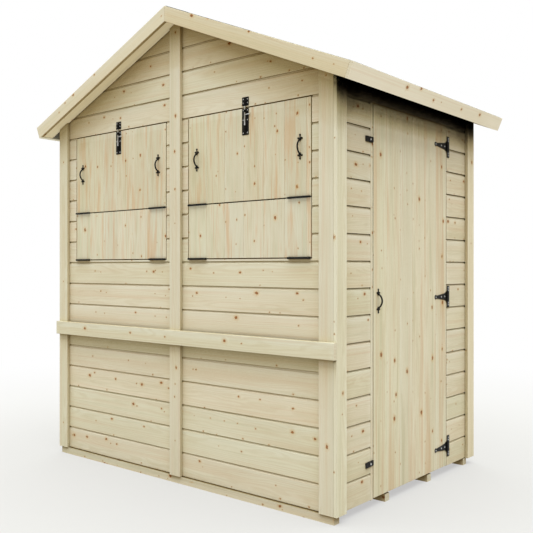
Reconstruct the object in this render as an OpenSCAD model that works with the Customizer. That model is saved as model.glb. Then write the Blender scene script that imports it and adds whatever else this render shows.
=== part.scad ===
// Garden bar shed: a small apex-roofed timber shed. Its gable front has two
// serving hatches that fold down into shelves, and its right side has a door.
//
// X runs along the front from left to right, Y from front to back, Z up.
// The origin is on the ground, under the middle of the roof.
// Each wall is drawn in its own panel frame: x along the wall, y inward from
// the outer face of the corner battens, z up from the ground.

/* [Shell] */
// Length of the gable walls over the corner battens
wall_w = 1830; // [1400:1:2400]
// Depth of the side walls over the corner battens
wall_d = 1246; // [1000:1:2400]
// Height of the roof line over the outer faces of the side battens
eaves_h = 1824.6; // [1815:0.1:2100]
// Slope of the roof, in degrees
roof_pitch = 23; // [18:0.5:26]

/* [Cladding and framing] */
// Thickness of the wall boards
clad_t = 12; // [9:0.5:18]
// Height that one wall board covers
clad_cover = 110.9; // [80:0.1:150]
// Height of the first seam's base line over the ground
clad_base = 36; // [33:1:60]
// Depth of the wall framing
frame_t = 28; // [22:1:45]
// Width of the wall framing timbers
frame_w = 44; // [32:1:60]
// Width of the cover battens on corners and front
batten_w = 71; // [50:1:90]
// Thickness of the cover battens
batten_t = 16; // [10:1:22]

/* [Floor] */
// Height of the floor bearers
bearer_h = 33; // [25:1:50]
// Width of the floor bearers
bearer_w = 35; // [25:1:50]
// Distance from one bearer to the next
bearer_pitch = 382; // [300:1:382]
// Thickness of the floor
floor_t = 11; // [9:1:18]

/* [Roof] */
// Roof overhang over the front battens
front_over = 65; // [50:1:110]
// Roof overhang over the back battens
back_over = 82; // [50:1:110]
// Sideways roof overhang over the side battens
side_over = 120; // [80:1:150]
// Thickness of the roof boards
deck_t = 11; // [9:1:18]
// Thickness of the mineral felt
felt_t = 3; // [2:0.5:4]
// Width of the bargeboards and eave fascias
barge_w = 66; // [60:1:90]
// Thickness of the bargeboards and eave fascias
barge_t = 16; // [10:1:20]
// Depth of the purlins under the roof boards
purlin_h = 44; // [32:1:50]
// Thickness of the purlins
purlin_w = 28; // [22:1:45]

/* [Serving hatches] */
// Width of one hatch opening
hatch_w = 711; // [500:1:720]
// Middle of each hatch opening, from the middle of the front
hatch_x = 428.5; // [425:0.5:431]
// Height of the sill seam, where the flap is hinged
sill_z = 1046; // [1030:1:1060]
// Height of the flap, from the sill seam to the fold seam
flap_h = 247; // [240:1:252]
// Height of the head of the hatch openings
head_z = 1700; // [1697:1:1701]
// Gap all round a leaf
leaf_gap = 5; // [5:0.5:8]
// Thickness of hatch and door boards
leaf_t = 11; // [9:0.5:11.5]
// Cover of one hatch or door board
leaf_cover = 113; // [80:1:150]
// How far the wall frame laps behind a closed leaf
stop_lap = 12; // [8:1:16]
// Thickness of the ledges behind the leaves
ledge_t = 20; // [16:1:22]
// Height of the bar ledge on the front
rail_h = 68; // [50:1:70]
// Thickness of the bar ledge
rail_t = 20; // [16:1:24]
// Height of the underside of the bar ledge
rail_z = 647; // [560:1:647]

/* [Door] */
// Start of the door opening, from the front battens
door_start = 290; // [240:1:320]
// Width of the door opening
door_w = 678; // [560:1:690]
// Height of the door's lower edge
door_foot = 38; // [38:1:44]
// Width of the upright strip that ends the boards at the door's free edge
door_strip_w = 18; // [12:1:30]

/* [Ironmongery] */
// Length of a butt hinge
butt_len = 115; // [75:1:130]
// Radius of the hinge barrels
barrel_r = 4.5; // [4:0.1:4.8]
// Radius of the hinge pins
pin_r = 1.8; // [1.2:0.1:2.2]
// Radial clearance of a pin in its knuckle
pin_clear = 0.06; // [0.02:0.01:0.1]
// Length of a tee hinge strap from its pin
strap_len = 122; // [90:1:150]
// Height of a tee hinge plate
tee_h = 102; // [80:1:130]
// Width of the tower bolts and their keeps
bolt_w = 38; // [28:1:42]
// Reach of a tower bolt's plate below the head seam
bolt_len = 121; // [100:1:140]
// Radius of a tower bolt's rod
bolt_r = 3.2; // [2.5:0.1:4.5]
// Length of a turn button
button_len = 58; // [46:1:64]
// Length of a pull handle from tip to tip
pull_len = 104; // [90:1:130]
// Span of a pull handle's bow
pull_span = 60; // [50:1:70]
// Standoff of a pull handle's bow
pull_rise = 20; // [16:1:26]

/* [Hidden] */
$fn = 48;

// Overall places, all from the driving sizes above
half_w = wall_w / 2;
ridge_h = eaves_h + half_w * tan(roof_pitch);
roof_d = wall_d + front_over + back_over;
front_y = front_over - roof_d / 2;
back_y = front_y + wall_d;
clad_in = batten_t + clad_t;            // inner face of the boards
frame_in = clad_in + frame_t;           // inner face of the framing
clad_edge = half_w - batten_t;          // outer face of the side boards
frame_edge = half_w - clad_in;          // outer face of the side framing
floor_top = bearer_h + floor_t;
bearer_first = 6;                       // front bearer's inset from the front battens
seat_gap = 0.3;                         // gap between timbers that are seated or butted
big = 4000;                             // larger than the shed, for cutting solids
overlap = 1;                            // how far parts of one piece run into each other

// Roof: s runs down the slope from the ridge, n is square to it, 0 at the bargeboards' top
slope_end = (half_w + side_over) / cos(roof_pitch);
end_bar_n = 4 - barge_w;                // underside of the roof's end bars
function roof_z(x, n) = ridge_h + n / cos(roof_pitch) - abs(x) * tan(roof_pitch);
function on_slope(s, n) = [s * cos(roof_pitch) + n * sin(roof_pitch),
                           ridge_h - s * sin(roof_pitch) + n * cos(roof_pitch)];

// Hatches
fold_z = sill_z + flap_h;
half_gap = leaf_gap / 2;                // half of a hinged seam
hatch_in = hatch_x - hatch_w / 2;       // opening's edge nearest the middle
hatch_out = hatch_x + hatch_w / 2;
leaf_in = hatch_in + leaf_gap;
leaf_out = hatch_out - leaf_gap;
leaf_back = batten_t + leaf_t;          // inner face of a leaf's boards
leaf_top = head_z - leaf_gap;
hinge_y = batten_t - barrel_r - 1;      // hinge axes, from the batten face inward

// Door
door_end = door_start + door_w;
door_axis = door_end - half_gap;
door_top = leaf_top;
tee_z = [132, 865, 1597];               // middle heights of the tee hinges
ledge_h = 70;                           // height of a door ledge
hatch_ledge_h = 50;                     // height of a hatch ledge
ledge_inset = 10;                       // ledge ends, from the frame behind

// ---- helpers -------------------------------------------------------------

// A box between two corners
module block(a, b) {
    translate(a) cube(b - a);
}

// Panel frames of the four walls
module at_front() { translate([0, front_y, 0]) children(); }
module at_back() { translate([0, back_y, 0]) mirror([0, 1, 0]) children(); }
module at_right() { translate([half_w, front_y, 0]) rotate([0, 0, 90]) children(); }
module at_left() { mirror([1, 0, 0]) at_right() children(); }
module both_sides() { children(); mirror([1, 0, 0]) children(); }

// Extrudes a (y, z) outline along x, and an (x, z) outline along y
module along_x(x0, x1) {
    translate([x0, 0, 0]) rotate([90, 0, 90]) linear_extrude(x1 - x0) children();
}
module along_y(y0, y1) {
    translate([0, y1, 0]) rotate([90, 0, 0]) linear_extrude(y1 - y0) children();
}

// Everything below the roof line that lies n off the slope
module under_roof(n) {
    intersection() {
        children();
        along_y(-big / 2, big / 2)
            polygon([[-big / 2, -overlap], [big / 2, -overlap], [big / 2, roof_z(big / 2, n)],
                     [0, roof_z(0, n)], [-big / 2, roof_z(big / 2, n)]]);
    }
}

// One roof layer of the right slope, mitred where it starts at the ridge
module slope_layer(n0, n1, y0, y1, s_end = slope_end, ridge_gap = 0) {
    start0 = (ridge_gap - n0 * sin(roof_pitch)) / cos(roof_pitch);
    start1 = (ridge_gap - n1 * sin(roof_pitch)) / cos(roof_pitch);
    along_y(y0, y1)
        polygon([on_slope(start0, n0), on_slope(s_end, n0), on_slope(s_end, n1),
                 on_slope(start1, n1)]);
}
module slope_bar(s0, s1, n0, n1, y0, y1) {
    along_y(y0, y1)
        polygon([on_slope(s0, n0), on_slope(s1, n0), on_slope(s1, n1), on_slope(s0, n1)]);
}

// ---- floor ---------------------------------------------------------------

module floor_bearers() {
    color("#cdbf9b")
    at_front()
        for (k = [0:3])
            block([-clad_edge, bearer_first + k * bearer_pitch, 0],
                  [clad_edge, bearer_first + k * bearer_pitch + bearer_w, bearer_h]);
}

module floor_sheet() {
    color("#c9b48a")
    at_front()
        block([-frame_edge, clad_in, bearer_h], [frame_edge, wall_d - clad_in, floor_top]);
}

// ---- cladding ------------------------------------------------------------

// Shiplap from z0 to z1: each board's upper edge is scooped out below the next
scoop_r = 13;
scoop_depth = 5;
module shiplap(z0, z1) {
    difference() {
        translate([batten_t, z0]) square([clad_t, z1 - z0]);
        for (k = [1:ceil((z1 - clad_base) / clad_cover)]) {
            seam = clad_base + k * clad_cover;
            if (seam > z0 + scoop_r && seam <= z1 + 0.5)
                intersection() {
                    translate([batten_t - scoop_r + scoop_depth, seam]) circle(scoop_r);
                    translate([batten_t - scoop_r, seam - scoop_r])
                        square([2 * scoop_r, scoop_r]);
                }
        }
    }
}
module boards(x0, x1, z0, z1) {
    along_x(x0, x1) shiplap(z0, z1);
}

module front_wall_lower() {
    color("#d8ccae")
    at_front() boards(-clad_edge, clad_edge, bearer_h, sill_z - half_gap);
}

module front_wall_piers() {
    color("#d8ccae")
    at_front() {
        boards(-hatch_in, hatch_in, sill_z - half_gap, head_z);
        both_sides() boards(hatch_out, clad_edge, sill_z - half_gap, head_z);
    }
}

module front_gable() {
    color("#d2c6a6")
    under_roof(-deck_t - seat_gap)
        at_front() boards(-clad_edge, clad_edge, head_z, ridge_h);
}

module back_wall() {
    color("#d2c6a6")
    under_roof(-deck_t - seat_gap)
        at_back() boards(-clad_edge, clad_edge, bearer_h, ridge_h);
}

side_top = roof_z(clad_edge, -deck_t) - seat_gap;
module left_wall() {
    color("#cfc3a3")
    at_left() boards(clad_in, wall_d - clad_in, bearer_h, side_top);
}

module right_wall_beside_door() {
    color("#cfc3a3")
    at_right() {
        boards(clad_in, door_start - door_strip_w - seat_gap, bearer_h, head_z);
        block([door_start - door_strip_w, batten_t, bearer_h], [door_start, clad_in, head_z]);
        boards(door_end, wall_d - clad_in, bearer_h, head_z);
    }
}

module right_wall_over_door() {
    color("#cfc3a3")
    at_right() boards(clad_in, wall_d - clad_in, head_z, side_top);
}

// ---- framing -------------------------------------------------------------

plate_top = floor_top + frame_w;            // top of the bottom plates
rafter_n = -deck_t - seat_gap;              // top of the sloping rails
rafter_low = rafter_n - frame_w;            // their underside
side_plate_z = roof_z(frame_edge, rafter_n) - frame_w;
noggin_z = 866;                             // height of the wall noggins

// Uprights of a wall frame, each starting at one of the given places
module uprights(starts, z0, z1) {
    for (x = starts)
        block([x, clad_in, z0], [x + frame_w, frame_in, z1]);
}
function gaps(starts) =
    [for (i = [0:len(starts) - 2]) [starts[i] + frame_w, starts[i + 1]]];
module noggins(starts, z) {
    for (g = gaps(starts))
        block([g[0], clad_in, z], [g[1], frame_in, z + frame_w]);
}

corner_stud = frame_edge - frame_w;
jamb_in = hatch_in + stop_lap - frame_w;    // hatch jambs, half of the front
jamb_out = hatch_out - stop_lap;
back_studs = [-frame_edge, -frame_edge / 2 - frame_w / 2, -frame_w / 2,
              frame_edge / 2 - frame_w / 2, corner_stud];
side_studs = [frame_in, (wall_d - frame_w) / 2, wall_d - frame_in - frame_w];
door_jamb_front = door_start + stop_lap - frame_w;
door_jamb_back = door_end - stop_lap;

module gable_wall_studs() {
    color("#c8b88f")
    under_roof(rafter_low - seat_gap) {
        at_front() {
            uprights([-frame_w / 2], plate_top, ridge_h);
            both_sides() uprights([jamb_in, jamb_out, corner_stud], plate_top, ridge_h);
        }
        at_back() uprights(back_studs, plate_top, ridge_h);
    }
}

module sloping_rail() {
    slope_start = (frame_w / 2) / cos(roof_pitch);
    slope_stop = frame_edge / cos(roof_pitch);
    intersection() {
        slope_bar(slope_start, slope_stop + frame_w, rafter_low, rafter_n, clad_in, frame_in);
        block([0.5, clad_in, 0], [frame_edge, frame_in, ridge_h]);
    }
}

module gable_wall_rails() {
    color("#c8b88f") {
        at_front() {
            block([-frame_edge, clad_in, floor_top], [frame_edge, frame_in, plate_top]);
            both_sides() {
                block([jamb_in + frame_w, clad_in, sill_z + stop_lap - frame_w],
                      [jamb_out, frame_in, sill_z + stop_lap]);
                block([jamb_in + frame_w, clad_in, head_z - stop_lap],
                      [jamb_out, frame_in, head_z - stop_lap + frame_w]);
                sloping_rail();
            }
        }
        at_back() {
            block([-frame_edge, clad_in, floor_top], [frame_edge, frame_in, plate_top]);
            noggins(back_studs, noggin_z);
            both_sides() sloping_rail();
        }
    }
}

module side_wall_studs() {
    color("#c8b88f") {
        at_left() uprights(side_studs, plate_top, side_plate_z);
        at_right() {
            uprights([side_studs[0], side_studs[2]], plate_top, side_plate_z);
            uprights([door_jamb_front, door_jamb_back], floor_top, side_plate_z);
        }
    }
}

module side_wall_rails() {
    color("#c8b88f") {
        both_sides()
            under_roof(rafter_n)
                at_right() block([frame_in, clad_in, side_plate_z],
                                 [wall_d - frame_in, frame_in, ridge_h]);
        at_left() {
            block([frame_in, clad_in, floor_top], [wall_d - frame_in, frame_in, plate_top]);
            noggins(side_studs, noggin_z);
        }
        at_right() {
            block([frame_in, clad_in, floor_top], [door_jamb_front, frame_in, plate_top]);
            block([door_jamb_back + frame_w, clad_in, floor_top],
                  [wall_d - frame_in, frame_in, plate_top]);
            block([door_jamb_front + frame_w, clad_in, head_z - stop_lap],
                  [door_jamb_back, frame_in, head_z - stop_lap + frame_w]);
        }
    }
}

// ---- battens and ledge ---------------------------------------------------

batten_n = end_bar_n - seat_gap;

module front_battens() {
    color("#ddd3b8")
    under_roof(batten_n)
        at_front() {
            block([-half_w, 0, bearer_h], [-half_w + batten_w, batten_t, ridge_h]);
            block([-batten_w / 2, 0, bearer_h], [batten_w / 2, batten_t, ridge_h]);
            block([clad_edge - batten_w, 0, bearer_h], [clad_edge, batten_t, ridge_h]);
        }
}

module back_battens() {
    color("#ddd3b8")
    under_roof(batten_n)
        at_back()
            both_sides()
                block([clad_edge - batten_w, 0, bearer_h], [clad_edge, batten_t, ridge_h]);
}

module side_battens() {
    color("#ddd3b8")
    under_roof(batten_n) {
        at_right() {
            block([0, 0, bearer_h], [batten_w, batten_t, ridge_h]);
            block([wall_d - batten_w, 0, bearer_h], [wall_d, batten_t, ridge_h]);
        }
        at_left() {
            block([batten_t, 0, bearer_h], [batten_t + batten_w, batten_t, ridge_h]);
            block([wall_d - batten_w, 0, bearer_h], [wall_d, batten_t, ridge_h]);
        }
    }
}

module bar_ledge() {
    color("#dbd0b2")
    at_front() block([-half_w, -rail_t, rail_z], [half_w, 0, rail_z + rail_h]);
}

// ---- roof ----------------------------------------------------------------

roof_front = -roof_d / 2;
roof_back = roof_d / 2;
ridge_joint = 0.5;                          // half of the joint left at the ridge

module roof_deck() {
    color("#2b2a28")
    both_sides()
        slope_layer(-deck_t, -seat_gap, roof_front + barge_t, roof_back - barge_t,
                    slope_end - barge_t - seat_gap, ridge_joint);
}

module roof_felt_right() {
    color("#3f4442") slope_layer(0, felt_t, roof_front, roof_back);
}
module roof_felt_left() {
    mirror([1, 0, 0]) roof_felt_right();
}

module roof_end_bars() {
    color("#cbbd95")
    both_sides() {
        slope_layer(end_bar_n, -deck_t - seat_gap, roof_front + barge_t, front_y + batten_t,
                    slope_end - barge_t - seat_gap, ridge_joint);
        slope_layer(end_bar_n, -deck_t - seat_gap, back_y - batten_t, roof_back - barge_t,
                    slope_end - barge_t - seat_gap, ridge_joint);
    }
}

purlin_s = [60, 560];                       // purlins' places down the slope
module roof_purlins() {
    color("#c8b88f")
    both_sides()
        for (s = purlin_s)
            slope_bar(s, s + purlin_w, -deck_t - seat_gap - purlin_h, -deck_t - seat_gap,
                      front_y + frame_in, back_y - frame_in);
}

module bargeboards() {
    color("#e0d6ba")
    both_sides() {
        slope_layer(-barge_w, -seat_gap, roof_front, roof_front + barge_t,
                    slope_end - barge_t - seat_gap, ridge_joint);
        slope_layer(-barge_w, -seat_gap, roof_back - barge_t, roof_back,
                    slope_end - barge_t - seat_gap, ridge_joint);
    }
}

module eave_fascias() {
    color("#e0d6ba")
    both_sides()
        slope_bar(slope_end - barge_t, slope_end, -barge_w, -seat_gap, roof_front, roof_back);
}

// ---- ledged leaves -------------------------------------------------------

// Upright boards with small vee joints, in a panel frame. The boards are counted
// from the given start, and the last is cut to fit.
vee = 1.6;
module leaf(x0, x1, z0, z1, start) {
    translate([0, 0, z0])
        linear_extrude(z1 - z0)
            difference() {
                translate([x0, batten_t]) square([x1 - x0, leaf_t]);
                for (x = [start + leaf_cover:leaf_cover:x1 - vee])
                    polygon([[x - vee, batten_t - overlap], [x + vee, batten_t - overlap],
                             [x + vee, batten_t], [x, batten_t + vee], [x - vee, batten_t]]);
            }
}
module ledges(x0, x1, heights, h) {
    for (z = heights)
        block([x0, leaf_back + seat_gap, z], [x1, leaf_back + seat_gap + ledge_t, z + h]);
}

ledge_from = hatch_in + stop_lap + ledge_inset;
ledge_to = hatch_out - stop_lap - ledge_inset;
flap_ledges = [sill_z + stop_lap + 8, fold_z - half_gap - hatch_ledge_h - 10];
upper_ledges = [fold_z + half_gap + 10, head_z - stop_lap - hatch_ledge_h - 8];

module flap() {
    color("#dcd1b4")
    at_front() {
        leaf(leaf_in, leaf_out, sill_z + half_gap, fold_z - half_gap, leaf_in);
        ledges(ledge_from, ledge_to, flap_ledges, hatch_ledge_h);
    }
}
module upper_leaf() {
    color("#dcd1b4")
    at_front() {
        leaf(leaf_in, leaf_out, fold_z + half_gap, leaf_top, leaf_in);
        ledges(ledge_from, ledge_to, upper_ledges, hatch_ledge_h);
    }
}
module at_left_hatch() { translate([-2 * hatch_x, 0, 0]) children(); }
module right_flap() { flap(); }
module left_flap() { at_left_hatch() flap(); }
module right_upper_leaf() { upper_leaf(); }
module left_upper_leaf() { at_left_hatch() upper_leaf(); }

module door_boards() {
    color("#dccfae")
    at_right()
        leaf(door_start + leaf_gap, door_end - leaf_gap, door_foot, door_top, door_start);
}

door_ledge_from = door_start + stop_lap + ledge_inset;
door_ledge_to = door_end - stop_lap - ledge_inset;
brace_w = 60;
// A brace rises from the hinge side to the free side between two ledges
module brace(z0, z1) {
    slant = brace_w / sin(atan2(z1 - z0, door_ledge_to - door_ledge_from));
    along_y(leaf_back + seat_gap, leaf_back + seat_gap + ledge_t)
        polygon([[door_ledge_to - slant, z0], [door_ledge_to, z0],
                 [door_ledge_from + slant, z1], [door_ledge_from, z1]]);
}
module door_ledges() {
    color("#c8b88f")
    at_right() {
        ledges(door_ledge_from, door_ledge_to, [for (z = tee_z) z - ledge_h / 2], ledge_h);
        for (i = [0, 1])
            brace(tee_z[i] + ledge_h / 2 + seat_gap, tee_z[i + 1] - ledge_h / 2 - seat_gap);
    }
}

// ---- butt hinges ---------------------------------------------------------

knuckles = 5;
knuckle_play = 0.3;                         // play between two knuckles
plate_t = 2;                                // thickness of hinge plates
barrel_play = 0.5;                          // plate edges stay this far off the barrel

// Barrel along z from 0: a pinned half holds the even knuckles and the pin,
// the other half the odd ones
module barrel(len, count, pinned) {
    pitch = len / count;
    for (k = [0:count - 1])
        if ((k % 2 == 0) == pinned)
            difference() {
                translate([0, 0, k * pitch + knuckle_play / 2])
                    cylinder(h = pitch - knuckle_play, r = barrel_r);
                if (!pinned)
                    translate([0, 0, -overlap]) cylinder(h = len + 2 * overlap, r = pin_r + pin_clear);
            }
    if (pinned)
        translate([0, 0, knuckle_play]) cylinder(h = len - 2 * knuckle_play, r = pin_r);
}

// One half of a butt hinge let into a level seam. The barrel starts at x0 and its axis
// is at height z; side is -1 for the half below the seam and 1 for the half above.
module butt_half(x0, z, side) {
    pinned = side < 0;
    pitch = butt_len / knuckles;
    edge = half_gap - plate_t;
    low = side < 0 ? z - half_gap : z + edge;
    translate([x0, hinge_y, z]) rotate([90, 0, 90]) barrel(butt_len, knuckles, pinned);
    block([x0, hinge_y + barrel_r + barrel_play, low],
          [x0 + butt_len, leaf_back, low + plate_t]);
    for (k = [0:knuckles - 1])
        if ((k % 2 == 0) == pinned)
            block([x0 + k * pitch + knuckle_play / 2, hinge_y + pin_r + 1, low],
                  [x0 + (k + 1) * pitch - knuckle_play / 2,
                   hinge_y + barrel_r + barrel_play + overlap, low + plate_t]);
}
butt_starts = [leaf_in + 1, leaf_out - butt_len - 1];
module butt_halves(z, side) {
    color("#1d1c1b")
    at_front()
        for (x = butt_starts)
            butt_half(x, z, side);
}
module sill_hinges() { both_sides() butt_halves(sill_z, -1); }
module flap_hinges() {
    butt_halves(sill_z, 1);
    butt_halves(fold_z, -1);
}
module right_flap_hinges() { flap_hinges(); }
module left_flap_hinges() { mirror([1, 0, 0]) flap_hinges(); }
module right_upper_hinges() { butt_halves(fold_z, 1); }
module left_upper_hinges() { mirror([1, 0, 0]) butt_halves(fold_z, 1); }

// ---- tee hinges ----------------------------------------------------------

tee_plate_t = 2.5;
tee_plate_w = 28;                           // from the pin to the plate's far edge
tee_barrel = 54;                            // height of the barrel
tee_knuckles = 3;
tee_tip_r = 10;
strap_root = 22;                            // half height of the strap at the barrel
strap_waist = 16;                           // half height where its edge turns in
strap_neck = 6.5;                           // half height where the round tip starts
waist_from = 14;                            // distance of that turn from the barrel

module tee_knuckle_arms(z, pinned, side) {
    pitch = tee_barrel / tee_knuckles;
    for (k = [0:tee_knuckles - 1])
        if ((k % 2 == 0) == pinned)
            block([side > 0 ? door_axis : door_axis - barrel_r - 2, batten_t - tee_plate_t,
                   z + k * pitch + knuckle_play / 2],
                  [side > 0 ? door_axis + barrel_r + 2 : door_axis, hinge_y + barrel_r - 0.2,
                   z + (k + 1) * pitch - knuckle_play / 2]);
}

module door_hinge_plates() {
    color("#1b1a19")
    at_right()
        for (z = tee_z) {
            block([door_axis + barrel_r + barrel_play, batten_t - tee_plate_t, z - tee_h / 2],
                  [door_axis + tee_plate_w, batten_t, z + tee_h / 2]);
            tee_knuckle_arms(z - tee_barrel / 2, true, 1);
            translate([door_axis, hinge_y, z - tee_barrel / 2])
                barrel(tee_barrel, tee_knuckles, true);
        }
}

// Outline of a strap in (x, z), its pin at x = 0 and its tip towards -x
module strap_outline() {
    neck_x = -strap_len + 2 * tee_tip_r;
    root_x = -barrel_r - barrel_play;
    polygon([[root_x, -strap_root], [root_x, strap_root], [root_x - waist_from, strap_waist],
             [neck_x, strap_neck], [neck_x, -strap_neck], [root_x - waist_from, -strap_waist]]);
    translate([-strap_len + tee_tip_r, 0]) circle(tee_tip_r);
    translate([-strap_len + tee_tip_r, -strap_neck]) square([2 * tee_tip_r, 2 * strap_neck]);
}

module door_hinge_straps() {
    color("#1b1a19")
    at_right()
        for (z = tee_z) {
            translate([door_axis, 0, z])
                along_y(batten_t - tee_plate_t, batten_t) strap_outline();
            tee_knuckle_arms(z - tee_barrel / 2, false, -1);
            translate([door_axis, hinge_y, z - tee_barrel / 2])
                barrel(tee_barrel, tee_knuckles, false);
        }
}

// ---- tower bolts ---------------------------------------------------------

// A rod slides in two guides pressed up from a plate on the leaf, and shoots up into
// a keep over the head seam. It is drawn here, with its tip just past the leaf's edge.
bolt_t = 2;                                 // thickness of the pressed plates
bolt_play = 0.3;                            // play of the rod in its guides
bolt_axis_y = batten_t - bolt_t - bolt_play - bolt_r;
bolt_edge = 1;                              // the plate's top, from the leaf's edge
bolt_tip = 3;                               // the drawn rod's tip, over the head seam
bolt_foot = 88;                             // the rod's lower end, under the head seam
keep_from = 5;                              // the keep's plate, over the head seam
keep_to = 43;
keep_guide = [12, 26];                      // guides' lower and upper ends, from the seam
high_guide = [-24, -12];
low_guide = [-104, -80];
knob_z = -33;                               // middle of the knob, from the head seam
knob_len = 29;                              // from the rod's middle to the knob's end
knob_neck_r = 2.2;
knob_r = 3.6;

module bolt_plate(z0, z1) {
    block([-bolt_w / 2, batten_t - bolt_t, z0], [bolt_w / 2, batten_t, z1]);
}
// Arch pressed up over the rod
module bolt_guide(span) {
    inner_r = bolt_r + bolt_play;
    outer_r = inner_r + bolt_t;
    translate([0, bolt_axis_y, span[0]])
        linear_extrude(span[1] - span[0])
            difference() {
                union() {
                    circle(outer_r);
                    translate([-outer_r, 0]) square([2 * outer_r, inner_r + bolt_t / 2]);
                }
                circle(inner_r);
                translate([-inner_r, 0]) square([2 * inner_r, inner_r]);
            }
}
module bolt_rod() {
    translate([0, bolt_axis_y, -bolt_foot]) cylinder(h = bolt_foot + bolt_tip, r = bolt_r);
    translate([0, bolt_axis_y, knob_z]) rotate([0, 90, 0]) {
        cylinder(h = knob_len, r = knob_neck_r);
        translate([0, 0, knob_len - 2 * knob_r]) cylinder(h = 2 * knob_r, r = knob_r);
    }
}
module hasp_plates() {
    color("#1b1a19")
    at_front()
        both_sides()
            translate([hatch_x, 0, head_z]) {
                bolt_plate(keep_from, keep_to);
                bolt_guide(keep_guide);
            }
}
module right_hasp() {
    color("#1b1a19")
    at_front()
        translate([hatch_x, 0, head_z]) {
            bolt_plate(-bolt_len, -leaf_gap - bolt_edge);
            bolt_guide(high_guide);
            bolt_guide(low_guide);
            bolt_rod();
        }
}
module left_hasp() { at_left_hatch() right_hasp(); }

// ---- pulls ---------------------------------------------------------------

pull_wire = 3.5;
pull_leaf_t = 3;
pull_x = 296.5;                             // pulls' distance from the hatch's middle
pull_z = 1498;
bow_r = (pull_span * pull_span / 4 + pull_rise * pull_rise) / (2 * pull_rise);
bow_half = asin(pull_span / 2 / bow_r);
fleur_root = 6;                             // the ends start this far in under the bow
fleur_len = (pull_len - pull_span) / 2 + fleur_root;
fleur_bead = 3.8;                           // radius of the round tips
fleur_stem = 3;                             // half width of a stem at its root
fleur_neck = 1.8;                           // and below its round tip
barb_reach = 9;                             // side tips' distance from the middle
barb_rise = 11;                             // and from the fleur's root

// A stem from the root that narrows to a round tip
module petal(x, z) {
    reach = norm([x, z]);
    rotate(-atan2(x, z)) {
        polygon([[-fleur_stem, 0], [fleur_stem, 0], [fleur_neck, reach], [-fleur_neck, reach]]);
        translate([0, reach]) circle(fleur_bead);
    }
}
// Three-lobed end from z = 0 to z = fleur_len
module fleur() {
    translate([0, fleur_bead]) circle(fleur_bead);
    petal(0, fleur_len - fleur_bead);
    translate([0, fleur_bead])
        for (side = [-1, 1])
            petal(side * barb_reach, barb_rise - fleur_bead);
}
// Upright bow pull on a leaf's face, its middle at the origin of a panel frame
module pull() {
    intersection() {
        translate([0, batten_t + bow_r - pull_rise, 0]) rotate([0, 90, 0])
            rotate([0, 0, -90 - bow_half])
                rotate_extrude(angle = 2 * bow_half)
                    translate([bow_r, 0]) circle(pull_wire);
        block([-pull_wire * 2, -pull_len, -pull_len], [pull_wire * 2, batten_t, pull_len]);
    }
    for (side = [0, 1])
        mirror([0, 0, side])
            translate([0, 0, pull_len / 2 - fleur_len])
                along_y(batten_t - pull_leaf_t, batten_t) fleur();
}
module hatch_pulls() {
    color("#1d1c1b")
    at_front()
        for (side = [-1, 1])
            translate([hatch_x + side * pull_x, 0, pull_z]) pull();
}
module right_pulls() { hatch_pulls(); }
module left_pulls() { mirror([1, 0, 0]) hatch_pulls(); }

door_pull_in = 42;                          // door pull, from the edge of the opening
module door_pull() {
    color("#1d1c1b")
    at_right() translate([door_start + door_pull_in, 0, tee_z[1]]) pull();
}

// ---- turn buttons --------------------------------------------------------

button_w = 22;
button_t = 5;
button_corner = 2;
button_pivot = 6;                           // the screw's distance from the button's middle
button_places = [[188, 3], [1542, 0]];      // heights and tilts
button_end = 1;                             // distance of its end from the doorway
screw_r = 4;
screw_rise = 1.5;
module button_outline() {
    square([button_len - 2 * button_corner, button_w], center = true);
    square([button_len, button_w - 2 * button_corner], center = true);
    for (x = [-1, 1], z = [-1, 1])
        translate([x * (button_len / 2 - button_corner), z * (button_w / 2 - button_corner)])
            circle(button_corner);
}
module turn_buttons() {
    color("#1d1c1b")
    at_right()
        for (place = button_places)
            translate([door_start - button_end - button_len / 2, 0, place[0]]) {
                along_y(batten_t - button_t, batten_t) rotate(place[1]) button_outline();
                translate([button_pivot, batten_t - button_t - screw_rise, 0]) rotate([-90, 0, 0])
                    cylinder(h = screw_rise + overlap, r = screw_r);
            }
}

floor_bearers();
floor_sheet();
front_wall_lower();
front_wall_piers();
front_gable();
left_wall();
back_wall();
right_wall_beside_door();
right_wall_over_door();
gable_wall_studs();
gable_wall_rails();
side_wall_studs();
side_wall_rails();
front_battens();
back_battens();
side_battens();
bar_ledge();
roof_deck();
roof_felt_left();
roof_felt_right();
roof_end_bars();
roof_purlins();
bargeboards();
eave_fascias();
left_flap();
left_upper_leaf();
right_flap();
right_upper_leaf();
sill_hinges();
left_flap_hinges();
left_upper_hinges();
right_flap_hinges();
right_upper_hinges();
hasp_plates();
left_hasp();
right_hasp();
left_pulls();
right_pulls();
door_boards();
door_ledges();
door_hinge_straps();
door_hinge_plates();
door_pull();
turn_buttons();
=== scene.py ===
import math
import random
import bmesh
import bpy
from mathutils import Matrix, Vector


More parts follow.
